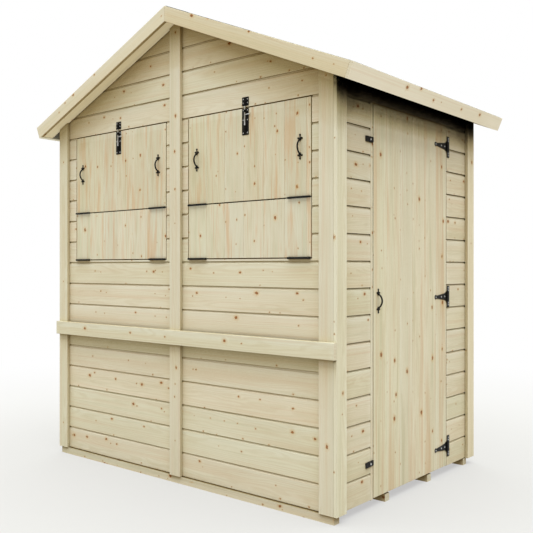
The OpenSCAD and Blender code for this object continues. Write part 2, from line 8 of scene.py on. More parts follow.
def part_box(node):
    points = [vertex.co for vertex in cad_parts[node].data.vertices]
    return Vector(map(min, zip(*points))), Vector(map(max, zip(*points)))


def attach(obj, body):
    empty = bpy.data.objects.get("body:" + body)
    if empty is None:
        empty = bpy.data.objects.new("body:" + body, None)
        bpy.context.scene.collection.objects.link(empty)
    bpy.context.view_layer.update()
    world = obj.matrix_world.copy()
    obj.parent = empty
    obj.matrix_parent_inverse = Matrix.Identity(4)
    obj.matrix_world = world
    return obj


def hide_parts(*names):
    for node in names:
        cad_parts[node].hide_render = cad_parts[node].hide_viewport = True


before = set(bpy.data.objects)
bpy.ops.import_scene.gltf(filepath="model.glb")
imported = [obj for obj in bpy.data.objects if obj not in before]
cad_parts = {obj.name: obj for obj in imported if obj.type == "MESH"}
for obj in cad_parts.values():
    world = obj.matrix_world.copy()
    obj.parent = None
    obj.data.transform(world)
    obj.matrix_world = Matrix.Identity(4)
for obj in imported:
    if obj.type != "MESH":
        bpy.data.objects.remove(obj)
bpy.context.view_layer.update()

random.seed(23)
print("frame loaded with", len(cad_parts), "nodes")

# The camera stands in front of the right corner, level and at about waist height
studioView = {"place": (2.5514, -3.0117, 1.0113), "turn": 39.92, "lens": 50.04, "sensor": 36.0,
              "farthest": 200}
cameraData = bpy.data.cameras.new("studioCamera")
cameraData.lens = studioView["lens"]
cameraData.sensor_width = studioView["sensor"]
cameraData.clip_end = studioView["farthest"]
studioCamera = bpy.data.objects.new("studioCamera", cameraData)
studioCamera.location = studioView["place"]
studioCamera.rotation_euler = (math.radians(90), 0, math.radians(studioView["turn"]))
bpy.context.scene.collection.objects.link(studioCamera)
bpy.context.scene.camera = studioCamera
bpy.context.scene.view_settings.view_transform = "Standard"
print("camera set")


def colour(hexText):
    # sRGB hex to the linear values that shaders work in
    parts = [int(hexText[i:i + 2], 16) / 255 for i in (1, 3, 5)]
    return tuple(p / 12.92 if p <= 0.04045 else ((p + 0.055) / 1.055) ** 2.4 for p in parts) + (1,)


def addNode(tree, kind, settings=None, links=None):
    # settings are properties, inputs or a ramp's stops; links are inputs fed by a node or one of its outputs
    node = tree.nodes.new("ShaderNode" + kind)
    for key, value in (settings or {}).items():
        if key == "stops":
            band = node.color_ramp.elements
            while len(band) < len(value):
                band.new(0.5)
            for element, (place, shade) in zip(band, value):
                element.position = place
                element.color = colour(shade)
        elif isinstance(key, int) or key in node.inputs:
            node.inputs[key].default_value = colour(value) if isinstance(value, str) else value
        else:
            setattr(node, key, value)
    for key, source in (links or {}).items():
        tree.links.new(source.outputs[0] if hasattr(source, "outputs") else source, node.inputs[key])
    return node


def startMaterial(name):
    material = bpy.data.materials.new(name)
    material.use_nodes = True
    material.node_tree.nodes.clear()
    return material, material.node_tree


# Painted shade: wood that the sky can't reach, under the eaves and verges, is painted darker and warmer
# from its ambient occlusion. Each list of stops runs from sheltered to open: "eaves" paints down to black,
# "verges" to brown, and "open" paints none. What is within "near" of a surface isn't counted as sheltering
# it, but coves and corners get a little painted shade there.
paintedShade = {
    "reach": 0.20, "near": 0.030, "samples": 10,
    "leastNear": 0.55,                  # the openness close by is taken as at least this
    # painted shade in coves and corners, over this span of openness close by
    "corner": (0.92, 0.34), "paintedCornerShade": "#B0A07C",    # openness close by over which corners darken
    # painted loss of reflection: the gloss grows only as the sky opens
    "glossy": (0.10, 0.60), "gloss": 0.2,       # opening over which the gloss grows, and its full level
    "eaves": [(0.19, "#000000"), (0.26, "#5F5343"), (0.32, "#988D72"), (0.38, "#B3AA8C"),
              (0.44, "#C9C0A4"), (0.52, "#D8CDB3"), (0.62, "#E2DAC5"), (0.78, "#F6F2E7"), (0.92, "#FFFFFF")],
    "verges": [(0.05, "#9D8B64"), (0.12, "#A3926D"), (0.20, "#B8AA87"), (0.28, "#CFC1A2"),
               (0.36, "#DFD3B7"), (0.44, "#E8DEC7"), (0.56, "#EEE6D3"), (0.68, "#F4EEE1"),
               (0.80, "#FBFAF6"), (0.95, "#FFFFFF")],
    "open": [(0.0, "#FFFFFF"), (1.0, "#FFFFFF")],
}


def addPaintedShade(tree, tone, stops, paintedCreaseShade):
    # gives back the tone in painted shade, corners darkened by up to the crease amount,
    # and the gloss, lowered where the shade is painted
    flat = addNode(tree, "NewGeometry").outputs["Normal"]
    raised = addNode(tree, "VectorMath", {"operation": "ADD", 1: (0, 0, 2)}, {0: flat})
    skyward = addNode(tree, "VectorMath", {"operation": "NORMALIZE"}, {0: raised})
    wide, close = [addNode(tree, "AmbientOcclusion", {"samples": paintedShade["samples"], "Distance": distance},
                           {"Normal": skyward}).outputs["AO"]
                   for distance in (paintedShade["reach"], paintedShade["near"])]
    kept = addNode(tree, "Math", {"operation": "MAXIMUM", 1: paintedShade["leastNear"]}, {0: close})
    opening = addNode(tree, "Math", {"operation": "DIVIDE", "use_clamp": True}, {0: wide, 1: kept})
    # painted shade: the stops darken the tone where the sky is hidden
    tint = addNode(tree, "ValToRGB", {"stops": stops}, {0: opening})
    tone = addNode(tree, "MixRGB", {"blend_type": "MULTIPLY", 0: 1.0}, {1: tone, 2: tint})
    # painted shade in coves and corners
    start, full = paintedShade["corner"]
    corner = addNode(tree, "MapRange", {1: start, 2: full, 4: paintedCreaseShade}, {0: close})
    tone = addNode(tree, "MixRGB", {"blend_type": "MULTIPLY", 2: paintedShade["paintedCornerShade"]},
                   {0: corner, 1: tone})
    # painted loss of reflection: the gloss drops where shade is painted
    start, full = paintedShade["glossy"]
    gloss = addNode(tree, "MapRange", {1: start, 2: full, 4: paintedShade["gloss"]}, {0: opening})
    return tone, gloss


# Planed, pressure treated spruce. Cutter planing leaves it even and dry, so it hardly shines. It is
# pale cream with soft pink and green streaks, faint arched rings, and small orange knots in warm halos.
spruceLook = {
    "pale": "#EDEBDF", "late": "#CDBE98", "pink": "#DFC8AC", "green": "#D0CFB4", "cloud": "#CDBB92",
    "knotPith": "#96592A", "knotHeart": "#B0703A", "knotRim": "#5E3618", "knotEdge": "#A56C39",
    "halo": "#D8B681",
    "boardTints": [(0.0, "#FFFBF5"), (0.3, "#F9F7F0"), (0.55, "#FFF9F0"), (0.8, "#F9F9EF"),
                   (1.0, "#FFF8EC")],
    "ringSpacing": 0.0056,              # growth rings, twice as coarse as they are so that they show
    "ringStrength": 0.17,
    "ringWander": 0.055, "ringBulge": 0.009,        # how far rings drift, and how far they part at a knot
    "heartOff": 0.08, "heartDepth": (0.02, 0.06),   # where the tree's heart lies beside and behind a face
    "streakWidth": 0.030, "streakLength": 1.3, "pinkAmount": 0.28, "greenAmount": 0.30,
    "fibreWidth": 0.0022, "fibreAmount": 0.2,       # fibres, much coarser than they are so that they show
    "knotPatch": (0.145, 0.108), "knotShare": 0.34, "knotRadius": (0.0026, 0.0060),
    "pinPatch": (0.078, 0.062), "pinShare": 0.24, "pinRadius": (0.0014, 0.0030),
    "fineStreak": "#D6AE84", "fineStreakWidth": 0.008, "fineStreakAmount": 0.15,
    "cloudAmount": 0.14,
    "knotWobble": (140, 190, 1), "knotUneven": (0.25, 1.5),     # how often and how far its outline wavers
    "islandShift": (17.0, 0.0, 31.0),               # moves each board to its own place in the pattern
    # painted shade from the verges, and in coves and corners by the crease amount
    "roughness": 0.66, "paintedShade": "verges", "paintedCreaseShade": 0.24,
}


def softwood(name, look, along=None):
    # along is None for boards with a grain map, or the frame's axes in the order of grain, width, depth
    material, tree = startMaterial(name)
    island = addNode(tree, "NewGeometry").outputs["Random Per Island"]
    if along is None:
        grainMap = addNode(tree, "UVMap", {"uv_map": "grain"})
        shift = addNode(tree, "CombineXYZ", {}, {2: island})
    else:
        place = addNode(tree, "SeparateXYZ", {}, {0: addNode(tree, "TexCoord").outputs["Object"]})
        order = {slot: place.outputs["xyz".index(axis)] for slot, axis in enumerate(along)}
        grainMap = addNode(tree, "CombineXYZ", {}, order)
        shift = addNode(tree, "CombineXYZ", {}, {0: island, 2: island})
    spot = addNode(tree, "VectorMath", {"operation": "MULTIPLY_ADD", 1: look["islandShift"]},
                   {0: shift, 2: grainMap})
    split = addNode(tree, "SeparateXYZ", {}, {0: spot})

    def knots(patch, share, radii):
        # distance from the nearest knot counted in its radii, and 1 where this patch holds one
        cells = (1 / patch[0], 1 / patch[1], 0)
        cell = addNode(tree, "VectorMath", {"operation": "MULTIPLY", 1: cells}, {0: spot})
        nearest = addNode(tree, "TexVoronoi", {"voronoi_dimensions": "2D", "Scale": 1.0, "Randomness": 0.9},
                          {0: cell})
        chance = addNode(tree, "SeparateColor", {}, {0: nearest.outputs["Color"]})
        smallest, largest = radii[0] / patch[1], radii[1] / patch[1]
        radius = addNode(tree, "MapRange", {3: smallest, 4: largest}, {0: chance.outputs[0]})
        wobblePlace = addNode(tree, "VectorMath", {"operation": "MULTIPLY", 1: look["knotWobble"]}, {0: spot})
        wobble = addNode(tree, "TexNoise", {"Scale": 1.0, "Detail": 2.0}, {0: wobblePlace})
        least, spread = look["knotUneven"]
        uneven = addNode(tree, "Math", {"operation": "MULTIPLY_ADD", 1: spread, 2: least}, {0: wobble})
        edge = addNode(tree, "Math", {"operation": "MULTIPLY"}, {0: radius, 1: uneven})
        reach = addNode(tree, "Math", {"operation": "DIVIDE"}, {0: nearest.outputs["Distance"], 1: edge})
        present = addNode(tree, "Math", {"operation": "LESS_THAN", 1: share}, {0: chance.outputs[1]})
        return reach, present

    knotReach, knotHere = knots(look["knotPatch"], look["knotShare"], look["knotRadius"])
    pinReach, pinHere = knots(look["pinPatch"], look["pinShare"], look["pinRadius"])

    # noise drawn out along the grain, by its turns in a metre along, across and through the board
    noise = {}
    for use, rate, detail, roughness in (
            ("drift", (1.4, 8.0, 1.0), 3.0, 0.5),
            ("fibre", (9.0, 1 / look["fibreWidth"], 1.0), 6.0, 0.62),
            ("streak", (1 / look["streakLength"], 1 / look["streakWidth"], 1.0), 3.5, 0.6),
            ("line", (1 / look["streakLength"], 1 / look["fineStreakWidth"], 3.0), 1.5, 0.5),
            ("cloud", (2.3, 7.0, 2.0), 2.0, 0.5)):
        drawnOut = addNode(tree, "VectorMath", {"operation": "MULTIPLY", 1: rate}, {0: spot})
        noise[use] = addNode(tree, "TexNoise", {"Scale": 1.0, "Detail": detail, "Roughness": roughness},
                             {0: drawnOut})

    # rings of a flat sawn board: long arches that part round the knots
    off = look["heartOff"]
    heart = addNode(tree, "Math", {"operation": "MULTIPLY_ADD", 1: -2 * off, 2: off}, {0: island})
    offHeart = addNode(tree, "Math", {"operation": "ADD"}, {0: split.outputs[1], 1: heart})
    wander = addNode(tree, "Math", {"operation": "MULTIPLY_ADD", 1: look["ringWander"]},
                     {0: noise["drift"], 2: offHeart})
    least, spread = look["heartDepth"]
    depth = addNode(tree, "Math", {"operation": "MULTIPLY_ADD", 1: spread, 2: least}, {0: noise["drift"]})
    acrossSquared = addNode(tree, "Math", {"operation": "MULTIPLY"}, {0: wander, 1: wander})
    squares = addNode(tree, "Math", {"operation": "MULTIPLY_ADD"}, {0: depth, 1: depth, 2: acrossSquared})
    ringRadius = addNode(tree, "Math", {"operation": "SQRT"}, {0: squares})
    bulge = addNode(tree, "MapRange", {"interpolation_type": "SMOOTHSTEP", 1: 5.0, 2: 0.5, 3: 0.0,
                                       4: look["ringBulge"]}, {0: knotReach})
    parted = addNode(tree, "Math", {"operation": "MULTIPLY_ADD"}, {0: bulge, 1: knotHere, 2: ringRadius})
    turnRate = 2 * math.pi / look["ringSpacing"]
    phase = addNode(tree, "Math", {"operation": "MULTIPLY", 1: turnRate}, {0: parted})
    wave = addNode(tree, "Math", {"operation": "SINE"}, {0: phase})
    lateWood = addNode(tree, "MapRange", {"interpolation_type": "SMOOTHSTEP", 1: -0.4, 2: 1.0}, {0: wave})
    ringAmount = addNode(tree, "Math", {"operation": "MULTIPLY", 1: look["ringStrength"]}, {0: lateWood})
    tone = addNode(tree, "MixRGB", {1: look["pale"], 2: look["late"]}, {0: ringAmount})

    # colour that follows the noise, between the values where it starts and where it is full
    for use, start, full, tint in (("streak", 0.50, 0.68, "pink"), ("streak", 0.48, 0.30, "green"),
                                   ("line", 0.56, 0.72, "fineStreak")):
        share = addNode(tree, "MapRange", {"interpolation_type": "SMOOTHSTEP", 1: start, 2: full,
                                           4: look[tint + "Amount"]}, {0: noise[use]})
        tone = addNode(tree, "MixRGB", {2: look[tint]}, {0: share, 1: tone})
    share = addNode(tree, "MapRange", {1: 0.45, 2: 0.75, 4: look["fibreAmount"]}, {0: noise["fibre"]})
    tone = addNode(tree, "MixRGB", {2: look["late"]}, {0: share, 1: tone})
    board = addNode(tree, "ValToRGB", {"stops": look["boardTints"]}, {0: island})
    tone = addNode(tree, "MixRGB", {"blend_type": "MULTIPLY", 0: 1.0}, {1: tone, 2: board})
    share = addNode(tree, "MapRange", {1: 0.35, 2: 0.7, 4: look["cloudAmount"]}, {0: noise["cloud"]})
    tone = addNode(tree, "MixRGB", {"blend_type": "MULTIPLY", 2: look["cloud"]}, {0: share, 1: tone})

    # each knot in its halo, from pith to rim
    coreStops = [(0.0, look["knotPith"]), (0.45, look["knotHeart"]), (0.80, look["knotRim"]),
                 (1.0, look["knotEdge"])]
    for reach, here, strength in ((knotReach, knotHere, 0.95), (pinReach, pinHere, 0.8)):
        core = addNode(tree, "ValToRGB", {"stops": coreStops}, {0: reach})
        # both start and are full at these distances, counted in the knot's radii
        for start, full, amount, plain, linked in ((3.2, 1.0, 0.6 * strength, {2: look["halo"]}, {}),
                                                   (1.25, 0.85, strength, {}, {2: core})):
            share = addNode(tree, "MapRange", {"interpolation_type": "SMOOTHSTEP", 1: start, 2: full,
                                               4: amount}, {0: reach})
            shareHere = addNode(tree, "Math", {"operation": "MULTIPLY"}, {0: share, 1: here})
            tone = addNode(tree, "MixRGB", plain, {0: shareHere, 1: tone, **linked})
    # painted shadow: faces that turn up are painted darker
    if "ledge" in look:
        upright = addNode(tree, "SeparateXYZ", {}, {0: addNode(tree, "NewGeometry").outputs["Normal"]})
        topShadeMask = addNode(tree, "MapRange", {1: 0.2, 2: 0.9}, {0: upright.outputs[2]})
        tone = addNode(tree, "MixRGB", {"blend_type": "MULTIPLY", 2: look["ledge"]}, {0: topShadeMask, 1: tone})
    # painted shade, with the gloss lowered in it
    tone, gloss = addPaintedShade(tree, tone, paintedShade[look["paintedShade"]], look["paintedCreaseShade"])

    relief = addNode(tree, "Math", {"operation": "MULTIPLY_ADD", 1: 0.6}, {0: lateWood, 2: noise["fibre"]})
    bump = addNode(tree, "Bump", {"Strength": 0.35, "Distance": 0.0004}, {"Height": relief})
    smoothest, roughest = look["roughness"] - 0.07, look["roughness"] + 0.08
    rough = addNode(tree, "MapRange", {1: 0.3, 2: 0.7, 3: smoothest, 4: roughest}, {0: noise["fibre"]})
    shader = addNode(tree, "BsdfPrincipled", {"IOR": 1.46},
                     {"Base Color": tone, "Normal": bump, "Roughness": rough, "Specular IOR Level": gloss})
    addNode(tree, "OutputMaterial", {}, {0: shader})
    return material


planedSpruce = softwood("planedSpruce", spruceLook)
# copies painted with the eaves' shade, from black up, for the side walls
eavesShadedSpruce = softwood("planedSprucePaintedEavesShade", dict(spruceLook, paintedShade="eaves"))
# Battens, ledge and roof edges are cut from clearer lengths with few knots
trimLook = dict(spruceLook, pale="#EBE9DD", knotShare=0.16, pinShare=0.08)
trimSpruce = softwood("planedSpruceTrim", trimLook)
# the side battens' copy with the same painted eaves shade
eavesShadedTrim = softwood("planedSpruceTrimPaintedEavesShade",
                     dict(trimLook, pale="#F5F4EA", pinkAmount=0.1, paintedShade="eaves"))
bargeLook = dict(trimLook, pale="#E5E0CE", knotShare=0.5, pinShare=0.12)
bargeSpruce = softwood("planedSpruceBargeboard", bargeLook)
paleBargeSpruce = softwood("planedSprucePaleBargeboard", dict(bargeLook, pale="#EAE7DB", late="#DAD0B4"))
# End bars and fascias get no painted shade in their colour; fascias are drawn paler than the other trim
endBarSpruce = softwood("planedSpruceEndBars", dict(spruceLook, pale="#F0E8CC", paintedShade="open", paintedCreaseShade=0.0))
fasciaLook = dict(trimLook, pale="#F3EFE1", late="#EBE3CE", pinkAmount=0.10, greenAmount=0.1,
                  ringStrength=0.15, knotShare=0.4, pinShare=0.10, paintedShade="open", paintedCreaseShade=0.0)
fasciaSpruce = softwood("planedSpruceFascia", fasciaLook)
# Hatch and door boards show more of the pink and green streaks, and smaller knots
leafLook = dict(spruceLook, pale="#E4E2D2", pink="#DDC2A2", streakWidth=0.034, streakLength=0.34,
                pinkAmount=0.72, greenAmount=0.5, fineStreakAmount=0.42, knotShare=0.25,
                knotRadius=(0.0028, 0.0060), paintedCreaseShade=0.0)
leafSpruce = softwood("planedSpruceHatch", leafLook)
# The flaps stand clear of the verges, so they get no painted shade
flapSpruce = softwood("planedSpruceFlap", dict(leafLook, paintedShade="open"))
# the door is painted with the eaves' shade as well
doorLook = dict(leafLook, pale="#EEEDE0", paintedShade="eaves", streakWidth=0.044, streakLength=1.0,
                pinkAmount=0.60, greenAmount=0.6, fineStreakAmount=0.28, knotRadius=(0.0032, 0.0070))
doorSpruce = softwood("planedSpruceDoor", doorLook)
# Rough sawn spruce framing: yellower and duller than the planed boards
# the framing gets strong painted shade in its coves and corners
sawnLook = dict(spruceLook, pale="#E8E2CE", late="#CBB892", pink="#DCC8A4", roughness=0.78, paintedCreaseShade=0.8)
# Bearers are painted darker on their upper faces: a painted shadow line under the wall boards
bearerLook = dict(sawnLook, pale="#E9E7DA", late="#CFC6AA", pink="#D8CFB6", ledge="#B2A688")
bearerSpruce = softwood("sawnSpruceBearers", bearerLook, "xzy")
sawnSpruceX = softwood("sawnSpruceAlongX", sawnLook, "xzy")
sawnSpruceY = softwood("sawnSpruceAlongY", sawnLook, "yzx")
sawnSpruceZ = softwood("sawnSpruceAlongZ", sawnLook, "zxy")

# Sawn ends of spruce boards: rings seen edge on, a shade darker and drier than the face
endLook = {"light": "#EFE7D0", "dark": "#DCCDA8", "ringsPerMetre": 180, "pores": 900,
           "islandShift": (0.3, 0.09, 0)}
spruceEnds, tree = startMaterial("sawnSpruceEnds")
island = addNode(tree, "NewGeometry").outputs["Random Per Island"]
grainMap = addNode(tree, "UVMap", {"uv_map": "grain"})
shift = addNode(tree, "CombineXYZ", {}, {0: island, 1: island})
spot = addNode(tree, "VectorMath", {"operation": "MULTIPLY_ADD", 1: endLook["islandShift"]},
               {0: shift, 2: grainMap})
# a wave of scale 1 draws about 3.2 rings a metre
rings = addNode(tree, "TexWave", {"wave_type": "RINGS", "rings_direction": "Z",
                                  "Scale": endLook["ringsPerMetre"] / 3.2, "Distortion": 1.6, "Detail": 2.0,
                                  "Detail Scale": 1.2}, {0: spot})
pores = addNode(tree, "TexNoise", {"Scale": endLook["pores"], "Detail": 3.0}, {0: spot})
tone = addNode(tree, "ValToRGB", {"stops": [(0.0, endLook["dark"]), (0.7, endLook["light"])]}, {0: rings})
tone = addNode(tree, "MixRGB", {"blend_type": "MULTIPLY", 0: 0.25}, {1: tone, 2: pores})
bump = addNode(tree, "Bump", {"Strength": 0.4, "Distance": 0.0004}, {"Height": pores})
# the ends take painted shade from the verges as well
shader = addNode(tree, "BsdfPrincipled", {"IOR": 1.46, "Roughness": 0.8},
                 {"Base Color": addPaintedShade(tree, tone, paintedShade["verges"], 0.0)[0], "Normal": bump})
addNode(tree, "OutputMaterial", {}, {0: shader})

# Pressed strand board: flat chips about 30 mm wide laid every way, each its own brown, under a waxy film
chipLook = {
    "light": "#CDB37E", "mid": "#B1925A", "dark": "#86653A",
    "chip": 0.030, "cell": 1.3,                     # width of a chip, and of the pattern's cell in chips
    "lay": ((0.3, 1.0), (1.4, 0.8), (2.5, 1.2)),    # turn and size of the chips in each layer
    "slender": (1.0, 3.4, 1.0), "ragged": (0.05, 0.05, 0.05), "raggedRate": 9.0,
    "bump": 0.0008, "roughness": 0.7,
}
# The roof's boards have the same chips, painted near black so that nearly all of them are hidden:
# a dark sheet of painted shade under the eaves
shadeBlackDeckLook = dict(chipLook, light="#161514", mid="#100F0E", dark="#090908", roughness=0.85)


def strandBoard(name, look):
    material, tree = startMaterial(name)
    place = addNode(tree, "TexCoord").outputs["Object"]
    layers = []
    for turn, size in look["lay"]:
        laid = addNode(tree, "Mapping", {"Rotation": (0, 0, turn), "Scale": look["slender"]}, {0: place})
        warp = addNode(tree, "TexNoise", {"Scale": look["raggedRate"], "Detail": 2.0}, {0: laid})
        joined = addNode(tree, "VectorMath", {"operation": "MULTIPLY_ADD", 1: look["ragged"]},
                         {0: warp.outputs["Color"], 2: laid})
        cells = 1 / (look["chip"] * size * look["cell"])
        layers.append(addNode(tree, "TexVoronoi", {"Scale": cells}, {0: joined}))
    pick = addNode(tree, "SeparateColor", {}, {0: layers[0].outputs["Color"]})
    mixed = addNode(tree, "MixRGB", {},
                    {0: pick.outputs[1], 1: layers[1].outputs["Color"], 2: layers[2].outputs["Color"]})
    value = addNode(tree, "SeparateColor", {}, {0: mixed})
    chipStops = [(0.0, look["dark"]), (0.4, look["mid"]), (1.0, look["light"])]
    tone = addNode(tree, "ValToRGB", {"stops": chipStops}, {0: value})
    # painted shade from the verges, full in coves and corners
    tone, gloss = addPaintedShade(tree, tone, paintedShade["verges"], 1.0)
    bump = addNode(tree, "Bump", {"Strength": 0.5, "Distance": look["bump"]}, {"Height": value})
    shader = addNode(tree, "BsdfPrincipled", {"IOR": 1.5, "Roughness": look["roughness"]},
                     {"Base Color": tone, "Normal": bump, "Specular IOR Level": gloss})
    addNode(tree, "OutputMaterial", {}, {0: shader})
    return material


floorBoard = strandBoard("pressedStrandBoard", chipLook)
shadeBlackRoofBoard = strandBoard("strandBoardPaintedBlackShade", shadeBlackDeckLook)

# Black powder coat on pressed steel: satin and faintly dimpled, with grey steel just showing on the edges
coatLook = {"base": "#080808", "dusty": "#121110", "worn": "#45413E", "dimple": 0.0011, "smears": 60.0,
            "edge": 0.0006, "wear": (0.995, 0.88),      # cosines of the turn at which wear starts and is full
            "polish": (0.42, 0.58), "gloss": 0.3}
blackCoat, tree = startMaterial("blackPowderCoatedSteel")
place = addNode(tree, "TexCoord").outputs["Object"]
dimples = addNode(tree, "TexNoise", {"Scale": 1 / coatLook["dimple"], "Detail": 2.0}, {0: place})
smears = addNode(tree, "TexNoise", {"Scale": coatLook["smears"], "Detail": 4.0}, {0: place})
rounded = addNode(tree, "Bevel", {"samples": 6, "Radius": coatLook["edge"]})
flat = addNode(tree, "NewGeometry").outputs["Normal"]
turned = addNode(tree, "VectorMath", {"operation": "DOT_PRODUCT"}, {0: rounded, 1: flat})
start, full = coatLook["wear"]
edge = addNode(tree, "MapRange", {1: start, 2: full}, {0: turned.outputs["Value"]})
worn = addNode(tree, "Math", {"operation": "MULTIPLY"}, {0: edge, 1: smears})
coat = addNode(tree, "MixRGB", {1: coatLook["base"], 2: coatLook["dusty"]}, {0: smears})
tone = addNode(tree, "MixRGB", {2: coatLook["worn"]}, {0: worn, 1: coat})
bump = addNode(tree, "Bump", {"Strength": 0.15, "Distance": 0.0003}, {"Height": dimples})
brightest, dullest = coatLook["polish"]
rough = addNode(tree, "MapRange", {1: 0.3, 2: 0.7, 3: brightest, 4: dullest}, {0: smears})
shader = addNode(tree, "BsdfPrincipled", {"IOR": 1.4, "Specular IOR Level": coatLook["gloss"]},
                 {"Base Color": tone, "Normal": bump, "Roughness": rough})
addNode(tree, "OutputMaterial", {}, {0: shader})

# Bright zinc plated steel: a cool grey mirror, blurred by fine plating haze
zincLook = {"light": "#E6E6E4", "dull": "#C2C3C4", "haze": 0.0014, "polish": (0.22, 0.40)}
# Hot dip galvanised steel is greyer and far rougher, with a frosty bloom
galvanisedLook = {"light": "#A6A9AA", "dull": "#818586", "haze": 0.0022, "polish": (0.50, 0.70)}


def platedSteel(name, look):
    material, tree = startMaterial(name)
    place = addNode(tree, "TexCoord").outputs["Object"]
    haze = addNode(tree, "TexNoise", {"Scale": 1 / look["haze"], "Detail": 3.0}, {0: place})
    tone = addNode(tree, "MixRGB", {1: look["dull"], 2: look["light"]}, {0: haze})
    brightest, dullest = look["polish"]
    rough = addNode(tree, "MapRange", {1: 0.3, 2: 0.7, 3: brightest, 4: dullest}, {0: haze})
    bump = addNode(tree, "Bump", {"Strength": 0.1, "Distance": 0.0002}, {"Height": haze})
    shader = addNode(tree, "BsdfPrincipled", {"Metallic": 1.0},
                     {"Base Color": tone, "Roughness": rough, "Normal": bump})
    addNode(tree, "OutputMaterial", {}, {0: shader})
    return material


zincSteel = platedSteel("brightZincPlatedSteel", zincLook)
galvanisedSteel = platedSteel("galvanisedSteel", galvanisedLook)

# Bitumen felt with crushed slate rolled in: dark green-grey grit, matt, scuffed lighter in patches
feltLook = {"grit": 0.0026, "dark": "#262928", "mid": "#3B403E", "light": "#565C59", "fleck": "#838782",
            "patch": 0.30, "batch": "#D8DAD9"}
slateFelt, tree = startMaterial("slateMineralFelt")
place = addNode(tree, "TexCoord").outputs["Object"]
grit = addNode(tree, "TexVoronoi", {"Scale": 1 / feltLook["grit"]}, {0: place})
shade = addNode(tree, "SeparateColor", {}, {0: grit.outputs["Color"]})
patches = addNode(tree, "TexNoise", {"Scale": 1 / feltLook["patch"], "Detail": 5.0}, {0: place})
gritStops = [(0.0, feltLook["dark"]), (0.5, feltLook["mid"]), (0.85, feltLook["light"]),
             (1.0, feltLook["fleck"])]
tone = addNode(tree, "ValToRGB", {"stops": gritStops}, {0: shade})
scuffed = addNode(tree, "MixRGB", {"blend_type": "SOFT_LIGHT", 0: 0.6}, {1: tone, 2: patches})
batch = addNode(tree, "ValToRGB", {"stops": [(0.0, feltLook["batch"]), (1.0, "#FFFFFF")]},
                {0: addNode(tree, "NewGeometry").outputs["Random Per Island"]})
scuffed = addNode(tree, "MixRGB", {"blend_type": "MULTIPLY", 0: 1.0}, {1: scuffed, 2: batch})
bump = addNode(tree, "Bump", {"Strength": 0.7, "Distance": 0.0012}, {"Height": grit.outputs["Distance"]})
shader = addNode(tree, "BsdfPrincipled", {"IOR": 1.5, "Roughness": 0.93},
                 {"Base Color": scuffed, "Normal": bump})
addNode(tree, "OutputMaterial", {}, {0: shader})
print("materials made")

# Main places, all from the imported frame. Each wall is drawn in its own panel frame:
# x along the wall, y inward from the faces of the corner battens, z up.
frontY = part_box("front_battens")[0].y
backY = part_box("back_battens")[1].y
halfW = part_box("side_battens")[1].x
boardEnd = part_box("front_battens")[1].x         # outer face of the side boards
wallD = backY - frontY
battenT = halfW - boardEnd
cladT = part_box("left_wall")[1].x + halfW - battenT
cladIn = battenT + cladT
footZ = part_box("left_wall")[0].z
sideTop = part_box("left_wall")[1].z
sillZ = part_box("front_wall_lower")[1].z
leafLow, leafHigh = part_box("right_upper_leaf")
flapLow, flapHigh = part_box("right_flap")
doorLow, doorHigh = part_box("door_boards")
leafGap = 0.005                                 # clear all round a leaf, so that it can swing
hatchIn, hatchOut = leafLow.x - leafGap, leafHigh.x + leafGap
hatchX = (hatchIn + hatchOut) / 2
headZ = leafHigh.z + leafGap
doorStart, doorEnd = doorLow.y - leafGap - frontY, doorHigh.y + leafGap - frontY
leafT = doorHigh.x - doorLow.x
roofFront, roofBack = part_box("eave_fascias")[0].y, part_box("eave_fascias")[1].y
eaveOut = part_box("roof_felt_right")[1].x
feltT = 0.003                                   # thickness of the felt's slabs
deckT = 0.011                                   # thickness of the roof boards
jointGap = 0.0003                               # left between timbers that are butted or seated
roofPitch = math.radians(23)
cosPitch, sinPitch = math.cos(roofPitch), math.sin(roofPitch)
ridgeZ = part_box("roof_felt_right")[1].z - feltT / cosPitch      # where the bargeboards' tops meet
slopeEnd = (eaveOut - feltT * sinPitch) / cosPitch              # length of a slope


def panel(x, y, z, origin):
    # a frame from its three directions and its origin
    return Matrix(((x[0], y[0], z[0], origin[0]), (x[1], y[1], z[1], origin[1]),
                   (x[2], y[2], z[2], origin[2]), (0, 0, 0, 1)))


frontPanel = panel((1, 0, 0), (0, 1, 0), (0, 0, 1), (0, frontY, 0))
backPanel = panel((1, 0, 0), (0, -1, 0), (0, 0, 1), (0, backY, 0))
rightPanel = panel((0, 1, 0), (-1, 0, 0), (0, 0, 1), (halfW, frontY, 0))
leftPanel = panel((0, 1, 0), (1, 0, 0), (0, 0, 1), (-halfW, frontY, 0))


def slopePanel(side, y, inward):
    # x down the slope from the ridge, y inward from the given plane, z square to the slope
    down, out = (side * cosPitch, 0, -sinPitch), (side * sinPitch, 0, cosPitch)
    return panel(down, (0, inward, 0), out, (0, y, ridgeZ))


def eased(points, radius, steps=3):
    # the outline with its corners rounded over, apart from any too short to round
    result = []
    for i, here in enumerate(points):
        p = Vector(here)
        a, b = Vector(points[i - 1]) - p, Vector(points[(i + 1) % len(points)]) - p
        trim = min(radius, 0.4 * a.length, 0.4 * b.length)
        if trim < 1e-5:
            result.append(tuple(p))
            continue
        start, end = p + a.normalized() * trim, p + b.normalized() * trim
        for k in range(steps):
            t = k / (steps - 1)
            result.append(tuple(start * (1 - t) ** 2 + p * 2 * t * (1 - t) + end * t ** 2))
    return result


def slab(w0, w1, d0, d1, ease=0.0012):
    # outline of a plain piece whose face at depth d0 shows
    return eased([(w0, d0), (w1, d0), (w1, d1), (w0, d1)], ease)


def startBoards():
    bm = bmesh.new()
    bm.loops.layers.uv.new("grain")
    return bm


